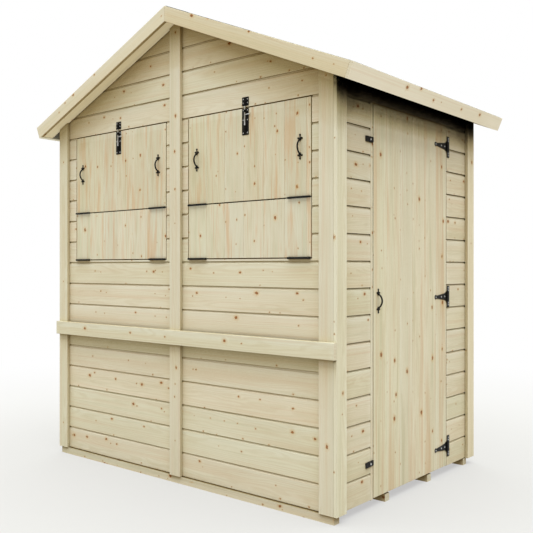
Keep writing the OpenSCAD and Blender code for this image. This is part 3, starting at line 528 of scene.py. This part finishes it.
def addBoard(bm, matrix, outline, start, end, upright=False, endEase=0.0008):
    # outline holds (width, depth) points, from the face that shows; start and end lie along the grain
    grain = bm.loops.layers.uv["grain"]
    seed = random.uniform(0, 400)
    widths, depths = [p[0] for p in outline], [p[1] for p in outline]
    centre = Vector((sum(widths), sum(depths))) / len(outline)
    size, thick = max(widths) - min(widths), max(depths) - min(depths)
    ease = min(endEase, (end - start) * 0.2)
    rings = []
    for place, shrink in ((start, True), (start + ease, False), (end - ease, False), (end, True)):
        ring = []
        for w, d in outline:
            if shrink:
                w = centre.x + (w - centre.x) * (1 - 2 * ease / size)
                d = centre.y + (d - centre.y) * (1 - 2 * ease / thick)
            ring.append(bm.verts.new(matrix @ Vector((w, d, place) if upright else (place, d, w))))
        rings.append((place, ring))
    count = len(outline)
    lengths = [0.0]
    for i in range(count):
        lengths.append(lengths[-1] + (Vector(outline[(i + 1) % count]) - Vector(outline[i])).length)
    for (placeA, ringA), (placeB, ringB) in zip(rings, rings[1:]):
        for i in range(count):
            j = (i + 1) % count
            face = bm.faces.new((ringA[i], ringA[j], ringB[j], ringB[i]))
            v0, v1 = lengths[i], lengths[i + 1]
            spots = ((placeA, v0), (placeA, v1), (placeB, v1), (placeB, v0))
            for loop, (u, v) in zip(face.loops, spots):
                loop[grain].uv = (u + seed, v - size / 2)
    for place, ring in (rings[0], rings[-1]):
        face = bm.faces.new(ring)
        face.material_index = 1
        for loop, (w, d) in zip(face.loops, outline):
            loop[grain].uv = (w, d)


def cutAway(bm, point, normal):
    # takes off what lies beyond the plane, and closes the sawn ends
    geometry = bm.verts[:] + bm.edges[:] + bm.faces[:]
    result = bmesh.ops.bisect_plane(bm, geom=geometry, plane_co=point, plane_no=normal, clear_outer=True)
    edges = [e for e in result["geom_cut"] if isinstance(e, bmesh.types.BMEdge) and e.is_boundary]
    if not edges:
        return
    grain = bm.loops.layers.uv["grain"]
    for face in bmesh.ops.holes_fill(bm, edges=edges, sides=0)["faces"]:
        face.material_index = 1
        for loop in face.loops:
            loop[grain].uv = (loop.vert.co.x + loop.vert.co.y, loop.vert.co.z)


def cutToRoof(bm, offset):
    # offset is measured square to the slopes, from the tops of the bargeboards
    top = Vector((0, 0, ridgeZ + offset / cosPitch))
    cutAway(bm, top, Vector((sinPitch, 0, cosPitch)))
    cutAway(bm, top, Vector((-sinPitch, 0, cosPitch)))


def addCut(bm, other, plane):
    # adds another piece's boards after they are cut by a plane
    cutAway(other, *plane)
    holder = bpy.data.meshes.new("holder")
    other.to_mesh(holder)
    other.free()
    bm.from_mesh(holder)
    bpy.data.meshes.remove(holder)


sharpAngle = math.radians(35)


def finishPiece(bm, name, body, nodes, materials, smooth=False):
    # smooth shades curved metal smoothly, and keeps the edges past the sharp angle
    bmesh.ops.recalc_face_normals(bm, faces=bm.faces)
    mesh = bpy.data.meshes.new(name)
    bm.to_mesh(mesh)
    bm.free()
    for material in materials:
        mesh.materials.append(material)
    if smooth:
        mesh.shade_smooth()
        mesh.set_sharp_from_angle(angle=sharpAngle)
    piece = bpy.data.objects.new(name, mesh)
    bpy.context.scene.collection.objects.link(piece)
    if nodes:
        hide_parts(*nodes)
    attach(piece, body)


# the eaves copies carry the painted eaves shade
wood, eavesShadedWood = [planedSpruce, spruceEnds], [eavesShadedSpruce, spruceEnds]
trimWood, eavesShadedTrimWood = [trimSpruce, spruceEnds], [eavesShadedTrim, spruceEnds]

# Shiplap wall boards: the upper edge of each is scooped out under the lip of the next
shiplap = {"base": 0.036, "cover": 0.1109, "scoop": 0.013, "scoopDepth": 0.005, "scoopSteps": 6,
           "tongue": 0.006, "lip": 0.0052, "play": 0.0012, "gap": 0.0007, "edge": 0.0011, "drip": 0.0028,
           "tip": 0.0002, "rebate": 0.001, "sillEase": 0.0004,
           "leastStrip": 0.004}         # a board that would leave less than this is cut to the wall's top


def shiplapOutline(low, high, lapped, scooped):
    face, back, radius = battenT, cladIn, shiplap["scoop"]
    centre = face - radius + shiplap["scoopDepth"]
    rise = math.sqrt(radius ** 2 - (face - centre) ** 2)
    foot = low + (shiplap["gap"] if lapped else shiplap["drip"])
    points = [(foot + shiplap["edge"] / 3, face + shiplap["edge"] / 3), (foot + shiplap["edge"], face)]
    if scooped:
        for k in range(shiplap["scoopSteps"] + 1):
            z = rise * (1 - k / shiplap["scoopSteps"])
            points.append((high - z, centre + math.sqrt(radius ** 2 - z ** 2)))
        tip = high + shiplap["tongue"]
        points += [(tip, centre + radius + shiplap["tip"]), (tip, back)]
    else:
        points += [(high, face), (high, back)]
    lip = face + shiplap["lip"]
    if lapped:
        shelf = low + shiplap["tongue"] + shiplap["play"]
        points += [(shelf, back), (shelf, lip), (foot, lip)]
    else:
        points += [(low, back), (low, lip + shiplap["rebate"]), (foot, lip)]
    return points + [(foot, face + shiplap["edge"])]


def seam(row):
    # height of the joint under a row of boards
    return shiplap["base"] + shiplap["cover"] * row


def addRows(bm, matrix, rows, spans, top=None):
    # spans are the boards' ends along the wall, and top is where a wall without a gable stops
    for row in rows:
        low = seam(row) if row else footZ
        high = seam(row + 1)
        cut = top is not None and high > top - shiplap["leastStrip"]
        for start, end in spans:
            addBoard(bm, matrix, shiplapOutline(low, top if cut else high, row > 0, not cut), start, end)


sillRow = int((sillZ - shiplap["base"]) / shiplap["cover"])         # row that the sills cut off
headRow = round((headZ - shiplap["base"]) / shiplap["cover"])       # first row over the openings
topRow = int((ridgeZ - shiplap["base"]) / shiplap["cover"]) + 1     # rows of a gable
sideRows = int((sideTop - shiplap["base"]) / shiplap["cover"]) + 1  # rows of a side wall
doorStrip = {"width": 0.018, "ease": 0.001}     # upright strip before the door
stripStart = doorStart - doorStrip["width"]

bm = startBoards()
addRows(bm, frontPanel, range(sillRow), [(-boardEnd, boardEnd)])
for side in (-1, 1):
    ends = sorted((side * hatchIn, side * hatchOut))
    outline = slab(seam(sillRow) + shiplap["gap"], sillZ, battenT, cladIn, shiplap["sillEase"])
    addBoard(bm, frontPanel, outline, *ends)
finishPiece(bm, "frontBoardsLow", "shed", ["front_wall_lower"], wood)

bm = startBoards()
piers = [(-boardEnd, -hatchOut), (-hatchIn, hatchIn), (hatchOut, boardEnd)]
addRows(bm, frontPanel, range(sillRow, headRow), piers)
finishPiece(bm, "frontBoardsBesideHatches", "shed", ["front_wall_piers"], wood)

bm = startBoards()
addRows(bm, frontPanel, range(headRow, topRow), [(-boardEnd, boardEnd)])
cutToRoof(bm, -deckT - jointGap)
finishPiece(bm, "frontGableBoards", "shed", ["front_gable"], wood)

bm = startBoards()
addRows(bm, backPanel, range(topRow), [(-boardEnd, boardEnd)])
cutToRoof(bm, -deckT - jointGap)
finishPiece(bm, "backBoards", "shed", ["back_wall"], wood)

bm = startBoards()
addRows(bm, leftPanel, range(sideRows), [(cladIn, wallD - cladIn)], sideTop)
finishPiece(bm, "leftWallBoards", "shed", ["left_wall"], eavesShadedWood)

bm = startBoards()
besideDoor = [(cladIn, stripStart - jointGap), (doorEnd, wallD - cladIn)]
addRows(bm, rightPanel, range(headRow), besideDoor)
outline = slab(stripStart, doorStart, battenT, cladIn, doorStrip["ease"])
addBoard(bm, rightPanel, outline, footZ, headZ, True)
finishPiece(bm, "boardsBesideDoor", "shed", ["right_wall_beside_door"], eavesShadedWood)

bm = startBoards()
addRows(bm, rightPanel, range(headRow, sideRows), [(cladIn, wallD - cladIn)], sideTop)
finishPiece(bm, "boardsOverDoor", "shed", ["right_wall_over_door"], eavesShadedWood)
print("wall boards made")

# Cover battens: planed strips on the corners and up the middle of the front
batten = {"width": 0.071, "ease": 0.0018, "top": -0.0623}       # top is measured off the roof line
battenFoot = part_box("front_battens")[0].z


def addBattens(bm, matrix, starts):
    for start in starts:
        outline = slab(start, start + batten["width"], 0, battenT, batten["ease"])
        addBoard(bm, matrix, outline, battenFoot, ridgeZ, True)


bm = startBoards()
addBattens(bm, frontPanel, (-halfW, -batten["width"] / 2, boardEnd - batten["width"]))
cutToRoof(bm, batten["top"])
finishPiece(bm, "frontBattens", "shed", ["front_battens"], trimWood)
bm = startBoards()
addBattens(bm, backPanel, (-boardEnd, boardEnd - batten["width"]))
cutToRoof(bm, batten["top"])
finishPiece(bm, "backBattens", "shed", ["back_battens"], trimWood)
bm = startBoards()
addBattens(bm, rightPanel, (0.0, wallD - batten["width"]))
addBattens(bm, leftPanel, (battenT, wallD - batten["width"]))
cutToRoof(bm, batten["top"])
finishPiece(bm, "sideBattens", "shed", ["side_battens"], eavesShadedTrimWood)

barLedge = {"ease": 0.002}
low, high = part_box("bar_ledge")
bm = startBoards()
addBoard(bm, frontPanel, slab(low.z, high.z, low.y - frontY, 0, barLedge["ease"]), low.x, high.x)
finishPiece(bm, "barLedge", "shed", ["bar_ledge"], trimWood)
print("battens and ledge made")

# Roof edge: bargeboards meet in a mitre at the ridge, and fascias close their lower ends. Square bars
# behind the bargeboards carry them, and leave a shadow gap along the wall.
barge = {"width": 0.066, "thick": 0.016, "ease": 0.0018, "ridgeJoint": 0.0005}
endBar = {"width": 0.062, "ease": 0.001, "shadowGap": 0.005}
pastRidge = -0.06                               # where slope timbers start before their mitre is cut
innerEnd = slopeEnd - barge["thick"] - jointGap
gableEnds = ((roofFront, 1), (roofBack, -1))


def addMitred(bm, side, y, inward, outline):
    one = startBoards()
    addBoard(one, slopePanel(side, y, inward), outline, pastRidge, innerEnd)
    addCut(bm, one, (Vector((side * barge["ridgeJoint"], 0, 0)), Vector((-side, 0, 0))))


bargeOutline = slab(-barge["width"], -jointGap, 0, barge["thick"], barge["ease"])
for side, name, spruce in ((-1, "leftBargeboards", paleBargeSpruce), (1, "rightBargeboards", bargeSpruce)):
    bm = startBoards()
    for y, inward in gableEnds:
        addMitred(bm, side, y, inward, bargeOutline)
    finishPiece(bm, name, "shed", ["bargeboards"], [spruce, spruceEnds])

bm = startBoards()
for side in (-1, 1):
    outer = (side * slopeEnd * cosPitch, 0, ridgeZ - slopeEnd * sinPitch)
    matrix = panel((0, 1, 0), (-side * cosPitch, 0, sinPitch), (side * sinPitch, 0, cosPitch), outer)
    addBoard(bm, matrix, bargeOutline, roofFront, roofBack)
finishPiece(bm, "eaveFascias", "shed", ["eave_fascias"], [fasciaSpruce, spruceEnds])

bm = startBoards()
for side in (-1, 1):
    for y, inward in gableEnds:
        reach = frontY + battenT - roofFront if inward > 0 else roofBack - (backY - battenT)
        reach -= endBar["shadowGap"]
        outline = slab(-endBar["width"], -deckT - jointGap, barge["thick"], reach, endBar["ease"])
        addMitred(bm, side, y, inward, outline)
finishPiece(bm, "roofEndBars", "shed", ["roof_end_bars"], [endBarSpruce, spruceEnds])
print("roof timber made")

# Leaves of tongued and grooved boards with small vee joints, on ledges behind
leaf = {"cover": 0.113, "vee": 0.0010, "edge": 0.0008, "joint": 0.0001, "tongue": 0.0045, "cheek": 0.002,
        "taper": 0.0002, "ledgeInset": 0.017, "ledgeHeight": 0.050, "ledgeEase": 0.002,
        "flapMargins": (0.0175, 0.010), "upperMargins": (0.010, 0.020)}     # under and over the two ledges
leafBack = battenT + leafT


def addLeaf(bm, matrix, start, end, low, high, countFrom):
    # boards are counted from countFrom, and the first and last are cut to the leaf's own edges
    joints = [start]
    joint = countFrom + leaf["cover"]
    while joint < end - leaf["vee"]:
        joints.append(joint)
        joint += leaf["cover"]
    joints.append(end)
    face, back = battenT, leafBack
    middle, cheek, tongue, taper = (face + back) / 2, leaf["cheek"], leaf["tongue"], leaf["taper"]
    for i, (a, b) in enumerate(zip(joints, joints[1:])):
        first, last = i == 0, i == len(joints) - 2
        veeA, veeB = leaf["edge" if first else "vee"], leaf["edge" if last else "vee"]
        a, b = a + (0 if first else leaf["joint"]), b - (0 if last else leaf["joint"])
        outline = [(a + veeA, face), (b - veeB, face), (b, face + veeB)]
        if not last:
            outline += [(b, middle - cheek), (b + tongue, middle - cheek + taper),
                        (b + tongue, middle + cheek - taper), (b, middle + cheek)]
        outline += [(b, back), (a, back)]
        if not first:
            outline += [(a, middle + cheek), (a + tongue, middle + cheek),
                        (a + tongue, middle - cheek), (a, middle - cheek)]
        addBoard(bm, matrix, outline + [(a, face + veeA)], low, high, True)


for node, body, foot, head, margins, spruce in (
        ("right_upper_leaf", "right_upper", leafLow.z, headZ, leaf["upperMargins"], leafSpruce),
        ("left_upper_leaf", "left_upper", leafLow.z, headZ, leaf["upperMargins"], leafSpruce),
        ("right_flap", "right_flap", flapLow.z, flapHigh.z, leaf["flapMargins"], flapSpruce),
        ("left_flap", "left_flap", flapLow.z, flapHigh.z, leaf["flapMargins"], flapSpruce)):
    low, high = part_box(node)
    bm = startBoards()
    addLeaf(bm, frontPanel, low.x, high.x, low.z, high.z, low.x)
    for z in (foot + margins[0], head - margins[1] - leaf["ledgeHeight"]):
        outline = slab(z, z + leaf["ledgeHeight"], high.y - frontY, leafBack + jointGap, leaf["ledgeEase"])
        addBoard(bm, frontPanel, outline, low.x + leaf["ledgeInset"], high.x - leaf["ledgeInset"])
    finishPiece(bm, node.replace("_", "-") + "-boards", body, [node], [spruce, spruceEnds])

bm = startBoards()
addLeaf(bm, rightPanel, doorStart + leafGap, doorEnd - leafGap, doorLow.z, doorHigh.z, doorStart)
finishPiece(bm, "doorLeafBoards", "door", ["door_boards"], [doorSpruce, spruceEnds])
print("leaves made")

# CAD nodes that keep their shape: framing, floor, roof boards and ironmongery
keptFinish = {
    "floor_bearers": bearerSpruce, "gable_wall_studs": sawnSpruceZ, "side_wall_studs": sawnSpruceZ,
    "gable_wall_rails": sawnSpruceX, "side_wall_rails": sawnSpruceY, "roof_purlins": sawnSpruceY,
    "door_ledges": sawnSpruceY, "floor_sheet": floorBoard, "roof_deck": shadeBlackRoofBoard,
}
for node in ("sill_hinges", "left_flap_hinges", "left_upper_hinges", "right_flap_hinges",
             "right_upper_hinges", "left_pulls", "right_pulls", "door_hinge_straps", "door_hinge_plates",
             "door_pull", "turn_buttons"):
    keptFinish[node] = blackCoat
wornEdge = 0.0012
for node, finish in keptFinish.items():
    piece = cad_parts[node]
    if finish in (bearerSpruce, sawnSpruceX, sawnSpruceY, sawnSpruceZ):
        worn = piece.modifiers.new("wornEdges", "BEVEL")
        worn.width = wornEdge
        worn.segments = 2
    if not piece.material_slots:
        piece.data.materials.append(finish)
    for holder in piece.material_slots:
        holder.material = finish
print("kept nodes finished")


def addRing(bm, matrix, radius, y, segments=16):
    # a circle in the panel's upright plane, at depth y
    turns = [2 * math.pi * k / segments for k in range(segments)]
    return [bm.verts.new(matrix @ Vector((radius * math.cos(t), y, radius * math.sin(t)))) for t in turns]


def joinRings(bm, rings):
    for a, b in zip(rings, rings[1:]):
        for k in range(len(a)):
            bm.faces.new((a[k], a[(k + 1) % len(a)], b[(k + 1) % len(a)], b[k]))


def addScrew(bm, matrix, place, radius, rise=0.0011):
    # raised head with a cross recess, standing out towards -y from its seat, a place in the panel frame;
    # its rim, its crown and the arms of the cross are in proportion to the head
    spin = Matrix.Rotation(random.uniform(0, math.pi), 4, "Y")
    matrix = matrix @ Matrix.Translation(place) @ spin
    rings = [addRing(bm, matrix, radius, 0), addRing(bm, matrix, radius * 0.96, -rise * 0.4),
             addRing(bm, matrix, radius * 0.72, -rise)]
    joinRings(bm, rings)
    rim = rings[-1]
    arm, half = radius * 0.52, radius * 0.13
    corners = []
    for k in range(4):
        turn = Matrix.Rotation(math.pi / 2 * k, 2)
        for x, z in ((arm, -half), (arm, half), (half, half)):
            corners.append(turn @ Vector((x, z)))
    mouth = [bm.verts.new(matrix @ Vector((c.x, -rise * 1.05, c.y))) for c in corners]
    bottom = [bm.verts.new(matrix @ Vector((c.x * 0.8, -rise * 0.15, c.y * 0.8))) for c in corners]
    for k in range(4):
        quarter = [rim[(4 * k + j) % len(rim)] for j in range(5)]
        bm.faces.new(quarter + [mouth[(3 * k + 3) % len(mouth)], mouth[3 * k + 2], mouth[3 * k + 1]])
        bm.faces.new((rim[4 * k], mouth[3 * k + 1], mouth[3 * k]))
    joinRings(bm, [mouth, bottom])
    bm.faces.new(bottom)


def addPlate(bm, matrix, outline, y0, y1, ease=0.0005):
    # flat plate from an (x, z) outline, between two depths, with its front edge eased
    centre = sum((Vector(p) for p in outline), Vector((0, 0))) / len(outline)
    rings = []
    for y, inset in ((y1, 0), (y0 + ease, 0), (y0, ease)):
        ring = []
        for p in outline:
            out = Vector(p) - centre
            p = Vector(p) - out.normalized() * inset
            ring.append(bm.verts.new(matrix @ Vector((p.x, y, p.y))))
        rings.append(ring)
    joinRings(bm, rings)
    bm.faces.new(rings[0])
    bm.faces.new(rings[-1])


def addRod(bm, start, end, radius, segments=16):
    # round bar between two points, with domed ends in proportion to it
    turn = (end - start).to_track_quat("Z", "Y").to_matrix().to_4x4()
    length = (end - start).length
    dome = radius * 0.45
    profile = [(dome, 0), (radius * 0.85, dome * 0.35), (radius, dome), (radius, length - dome),
               (radius * 0.85, length - dome * 0.35), (dome, length)]
    rings = []
    turns = [2 * math.pi * k / segments for k in range(segments)]
    for r, z in profile:
        spots = [Vector((r * math.cos(t), r * math.sin(t), z)) for t in turns]
        rings.append([bm.verts.new(start + turn @ spot) for spot in spots])
    joinRings(bm, rings)
    bm.faces.new(rings[0])
    bm.faces.new(rings[-1])


# Tower bolts: a pressed black plate with two arched guides, and a bright rod drawn down from its keep
towerBolt = {"width": 0.038, "corner": 0.0025, "plate": 0.002, "rod": 0.0032, "play": 0.0003,
             "foot": -0.121, "top": -0.006, "tip": 0.003, "rodFoot": -0.088,
             "keep": (0.005, 0.043), "keepGuide": (0.012, 0.026),
             "guides": ((-0.024, -0.012), (-0.104, -0.080)),
             "knobZ": -0.033, "knobReach": 0.029, "knobNeck": 0.0022, "knobRadius": 0.0036,
             "neckFrom": 0.001, "neckShort": 0.004, "knobOver": 0.0032,
             "screws": (-0.014, -0.056, -0.112), "keepScrews": (0.018, 0.034), "screwX": 0.0125,
             "screwRadius": 0.0030}
plateFace = battenT - towerBolt["plate"]
axisY = plateFace - towerBolt["play"] - towerBolt["rod"]
halfPlate = towerBolt["width"] / 2


def addGuide(bm, matrix, span, ease=(0.0006, 0.0005), steps=10):
    # an arch over the rod, its two rims eased by so much along and across it
    inner = towerBolt["rod"] + towerBolt["play"]
    outer = inner + towerBolt["plate"]
    seat = plateFace - axisY
    turns = [math.pi * k / steps for k in range(steps + 1)]
    rings = []
    for z in (span[0], span[0] + ease[0], span[1] - ease[0], span[1]):
        grow = outer if span[0] < z < span[1] else outer - ease[1]
        outside = [(-grow * math.cos(t), -grow * math.sin(t)) for t in turns]
        inside = [(inner * math.cos(t), -inner * math.sin(t)) for t in turns]
        arch = [(-grow, seat)] + outside + [(grow, seat), (inner, seat)] + inside + [(-inner, seat)]
        rings.append([bm.verts.new(matrix @ Vector((x, axisY + y, z))) for x, y in arch])
    joinRings(bm, rings)
    half = len(rings[0]) // 2
    for ring in (rings[0], rings[-1]):
        for k in range(half - 1):
            bm.faces.new((ring[k], ring[k + 1], ring[2 * half - 2 - k], ring[2 * half - 1 - k]))


def addBoltPlate(bm, matrix, foot, top):
    corners = [(-halfPlate, foot), (halfPlate, foot), (halfPlate, top), (-halfPlate, top)]
    addPlate(bm, matrix, eased(corners, towerBolt["corner"], 4), plateFace, battenT)


keeps = bmesh.new()
for side, body, node in ((-1, "left_upper", "left_hasp"), (1, "right_upper", "right_hasp")):
    boltPanel = frontPanel @ Matrix.Translation((side * hatchX, 0, headZ))
    plates, rods = bmesh.new(), bmesh.new()
    name = node.replace("hasp", "bolt")
    addBoltPlate(plates, boltPanel, towerBolt["foot"], towerBolt["top"])
    for span in towerBolt["guides"]:
        addGuide(plates, boltPanel, span)
    finishPiece(plates, name + "_plate", body, [node], [blackCoat], True)
    rodEnds = [boltPanel @ Vector((0, axisY, z)) for z in (towerBolt["rodFoot"], towerBolt["tip"])]
    addRod(rods, *rodEnds, towerBolt["rod"])
    neckEnd, knobEnd = towerBolt["knobReach"] - towerBolt["neckShort"], towerBolt["knobReach"]
    neckFrom, neckTo, knobTo = [boltPanel @ Vector((x, axisY, towerBolt["knobZ"]))
                                for x in (towerBolt["neckFrom"], neckEnd, knobEnd)]
    addRod(rods, neckFrom, neckTo, towerBolt["knobNeck"])
    addRod(rods, neckTo - Vector((towerBolt["knobOver"], 0, 0)), knobTo, towerBolt["knobRadius"])
    for x in (-towerBolt["screwX"], towerBolt["screwX"]):
        for z in towerBolt["screws"]:
            addScrew(rods, boltPanel, (x, plateFace, z), towerBolt["screwRadius"])
    finishPiece(rods, name + "_rod", body, [node], [zincSteel], True)
    addBoltPlate(keeps, boltPanel, *towerBolt["keep"])
    addGuide(keeps, boltPanel, towerBolt["keepGuide"])
finishPiece(keeps, "boltKeeps", "shed", ["hasp_plates"], [blackCoat], True)
print("tower bolts made")

# Zinc screws in the door hinges, turn buttons and keeps
teeHinge = {"heights": (0.132, 0.865, 1.597), "plate": 0.0025, "pinIn": 0.0025,
            "strapScrews": (0.020, 0.056, 0.112), "strapScrewRadius": 0.0040,
            "plateScrewX": 0.018, "plateScrews": (-0.041, -0.030, 0.030, 0.041), "plateScrewRadius": 0.0034}
turnButton = {"heights": (0.188, 1.542), "screwOff": 0.006, "thick": 0.0065,
              "screwRadius": 0.0048, "screwRise": 0.0008}
pinX = doorEnd - teeHinge["pinIn"]
hingeFace = battenT - teeHinge["plate"]
wallScrews, doorScrews = bmesh.new(), bmesh.new()
for z in teeHinge["heights"]:
    for reach in teeHinge["strapScrews"]:
        addScrew(doorScrews, rightPanel, (pinX - reach, hingeFace, z), teeHinge["strapScrewRadius"])
    for offset in teeHinge["plateScrews"]:
        seat = (pinX + teeHinge["plateScrewX"], hingeFace, z + offset)
        addScrew(wallScrews, rightPanel, seat, teeHinge["plateScrewRadius"])
finishPiece(doorScrews, "doorStrapScrews", "door", [], [zincSteel], True)
for x in (-towerBolt["screwX"], towerBolt["screwX"]):
    for z in towerBolt["keepScrews"]:
        for side in (-1, 1):
            seat = (side * hatchX + x, plateFace, headZ + z)
            addScrew(wallScrews, frontPanel, seat, towerBolt["screwRadius"])
low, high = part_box("turn_buttons")
buttonX = (low.y + high.y) / 2 - frontY + turnButton["screwOff"]
for z in turnButton["heights"]:
    seat = (buttonX, battenT - turnButton["thick"], z)
    addScrew(wallScrews, rightPanel, seat, turnButton["screwRadius"], turnButton["screwRise"])
finishPiece(wallScrews, "wallScrews", "shed", [], [zincSteel], True)
print("screws made")

# Mineral felt: two strips down each slope, the upper over the lower, and a capping strip over the ridge.
# It is cut back from the outer edges, so only the boards show from below.
felt = {"sheet": 0.0008, "back": 0.009, "strips": ((0.44, 1.0), (0.0, 0.50)), "cap": 0.150,
        "ripple": 0.0002, "rippleFrom": 0.05, "columns": 60, "rowPitch": 0.03,
        "rippleTurns": ((9.1, 5.3), (4.2, 17.0)),       # radians a metre, along and down, of two crossed sets
        "nailPitch": 0.090, "nailIn": 0.022, "nailEnd": 0.02, "nailRadius": 0.0048, "nailRise": 0.0007,
        "nailSink": 0.0001}


def feltPoint(side, s, y, lift):
    # a point above the slope by lift, at s down it, on slow ripples; the slopes' sheets meet over the ridge
    (along, down), (crossAlong, crossDown) = felt["rippleTurns"]
    crossed = math.sin(along * y + down * s + 2 * side) * math.sin(crossDown * s - crossAlong * y)
    wave = felt["ripple"] * (1 + crossed) / 2
    rise = lift + wave * min(1, s / felt["rippleFrom"])
    if s == 0:
        return (0, y, ridgeZ + rise / cosPitch)
    return (side * (s * cosPitch + rise * sinPitch), y, ridgeZ - s * sinPitch + rise * cosPitch)


feltNails = bmesh.new()
lowest, highest = roofFront + felt["back"], roofBack - felt["back"]
for side, node in ((-1, "roof_felt_left"), (1, "roof_felt_right")):
    bm = bmesh.new()
    length = slopeEnd - felt["back"]
    spans = [(a * length, b * length) for a, b in felt["strips"]] + [(0.0, felt["cap"])]
    for level, (s0, s1) in enumerate(spans):
        lift = level * felt["sheet"]
        columns, rows = felt["columns"], max(4, round((s1 - s0) / felt["rowPitch"]))
        across = [s0 + (s1 - s0) * k / rows for k in range(rows + 1)]
        along = [lowest + (highest - lowest) * k / columns for k in range(columns + 1)]
        under, top = [[[bm.verts.new(feltPoint(side, s, y, height)) for y in along] for s in across]
                      for height in (lift, lift + felt["sheet"])]
        for j in range(rows):
            for i in range(columns):
                bm.faces.new((top[j][i], top[j][i + 1], top[j + 1][i + 1], top[j + 1][i]))
                bm.faces.new((under[j][i], under[j][i + 1], under[j + 1][i + 1], under[j + 1][i]))
        for j in (0, rows):
            for i in range(columns):
                bm.faces.new((top[j][i], top[j][i + 1], under[j][i + 1], under[j][i]))
        for i in (0, columns):
            for j in range(rows):
                bm.faces.new((top[j][i], top[j + 1][i], under[j + 1][i], under[j][i]))
    finishPiece(bm, node.replace("roof_felt", "felt_strips"), "shed", [node], [slateFelt])
    nailRun = highest - lowest - 2 * felt["nailEnd"]
    count = int(nailRun / felt["nailPitch"])
    for level, (s0, s1) in enumerate(spans):
        lift = (level + 1) * felt["sheet"] - felt["nailSink"]
        for k in range(count + 1):
            y = lowest + felt["nailEnd"] + nailRun * k / count
            matrix = slopePanel(side, 0, 1)
            matrix.translation = feltPoint(side, s1 - felt["nailIn"], y, lift)
            matrix = matrix @ Matrix.Rotation(math.radians(-90), 4, "X")
            rings = [addRing(feltNails, matrix, felt["nailRadius"] * grow, -felt["nailRise"] * up, 10)
                     for grow, up in ((1.0, 0), (0.95, 0.5), (0.5, 1.0))]
            joinRings(feltNails, rings)
            feltNails.faces.new(rings[-1])
finishPiece(feltNails, "feltClouts", "shed", [], [galvanisedSteel], True)
print("felt laid")

# Studio: a pale floor that runs out to white, a white surround and one wide panel overhead
studio = {
    "halfFloor": 60.0, "floorNear": "#AEADAA", "floorGlow": 0.52,
    "fadeFrom": 1.2, "fadeTo": 4.6,     # the floor turns white between these distances from the middle
    "surround": 0.38, "surroundTint": "#FFF3DA",
    "panelSize": 45.0, "panelPlace": (0.5, -0.6, 30.0), "panelPower": 26000, "panelTint": "#FAFFFF",
}
floorMesh = bpy.data.meshes.new("studioFloor")
half = studio["halfFloor"]
corners = [(-half, -half, 0), (half, -half, 0), (half, half, 0), (-half, half, 0)]
floorMesh.from_pydata(corners, [], [(0, 1, 2, 3)])
studioFloor = bpy.data.objects.new("studioFloor", floorMesh)
bpy.context.scene.collection.objects.link(studioFloor)
floorMaterial, tree = startMaterial("paleStudioFloor")
place = addNode(tree, "TexCoord").outputs["Object"]
radius = addNode(tree, "VectorMath", {"operation": "LENGTH"}, {0: place}).outputs["Value"]
fade = addNode(tree, "MapRange", {"interpolation_type": "SMOOTHSTEP", 1: studio["fadeFrom"],
                                  2: studio["fadeTo"], 3: studio["floorGlow"]}, {0: radius})
matt = addNode(tree, "BsdfPrincipled", {"Base Color": studio["floorNear"], "Roughness": 0.9})
white = addNode(tree, "Emission", {"Color": "#FFFFFF", "Strength": 1.0})
mixed = addNode(tree, "MixShader", {}, {0: fade, 1: matt, 2: white})
addNode(tree, "OutputMaterial", {}, {0: mixed})
floorMesh.materials.append(floorMaterial)

world = bpy.data.worlds.new("whiteSurround")
world.use_nodes = True
bpy.context.scene.world = world
tree = world.node_tree
tree.nodes.clear()
path = addNode(tree, "LightPath")
seen = addNode(tree, "Background", {"Color": "#FFFFFF", "Strength": 1.0})
cast = addNode(tree, "Background", {"Color": studio["surroundTint"], "Strength": studio["surround"]})
both = addNode(tree, "MixShader", {}, {0: path.outputs["Is Camera Ray"], 1: cast, 2: seen})
addNode(tree, "OutputWorld", {}, {0: both})

panelData = bpy.data.lights.new("overheadPanel", "AREA")
panelData.shape = "SQUARE"
panelData.size = studio["panelSize"]
panelData.energy = studio["panelPower"]
panelData.color = colour(studio["panelTint"])[:3]
overheadPanel = bpy.data.objects.new("overheadPanel", panelData)
overheadPanel.location = studio["panelPlace"]
bpy.context.scene.collection.objects.link(overheadPanel)
print("studio made")
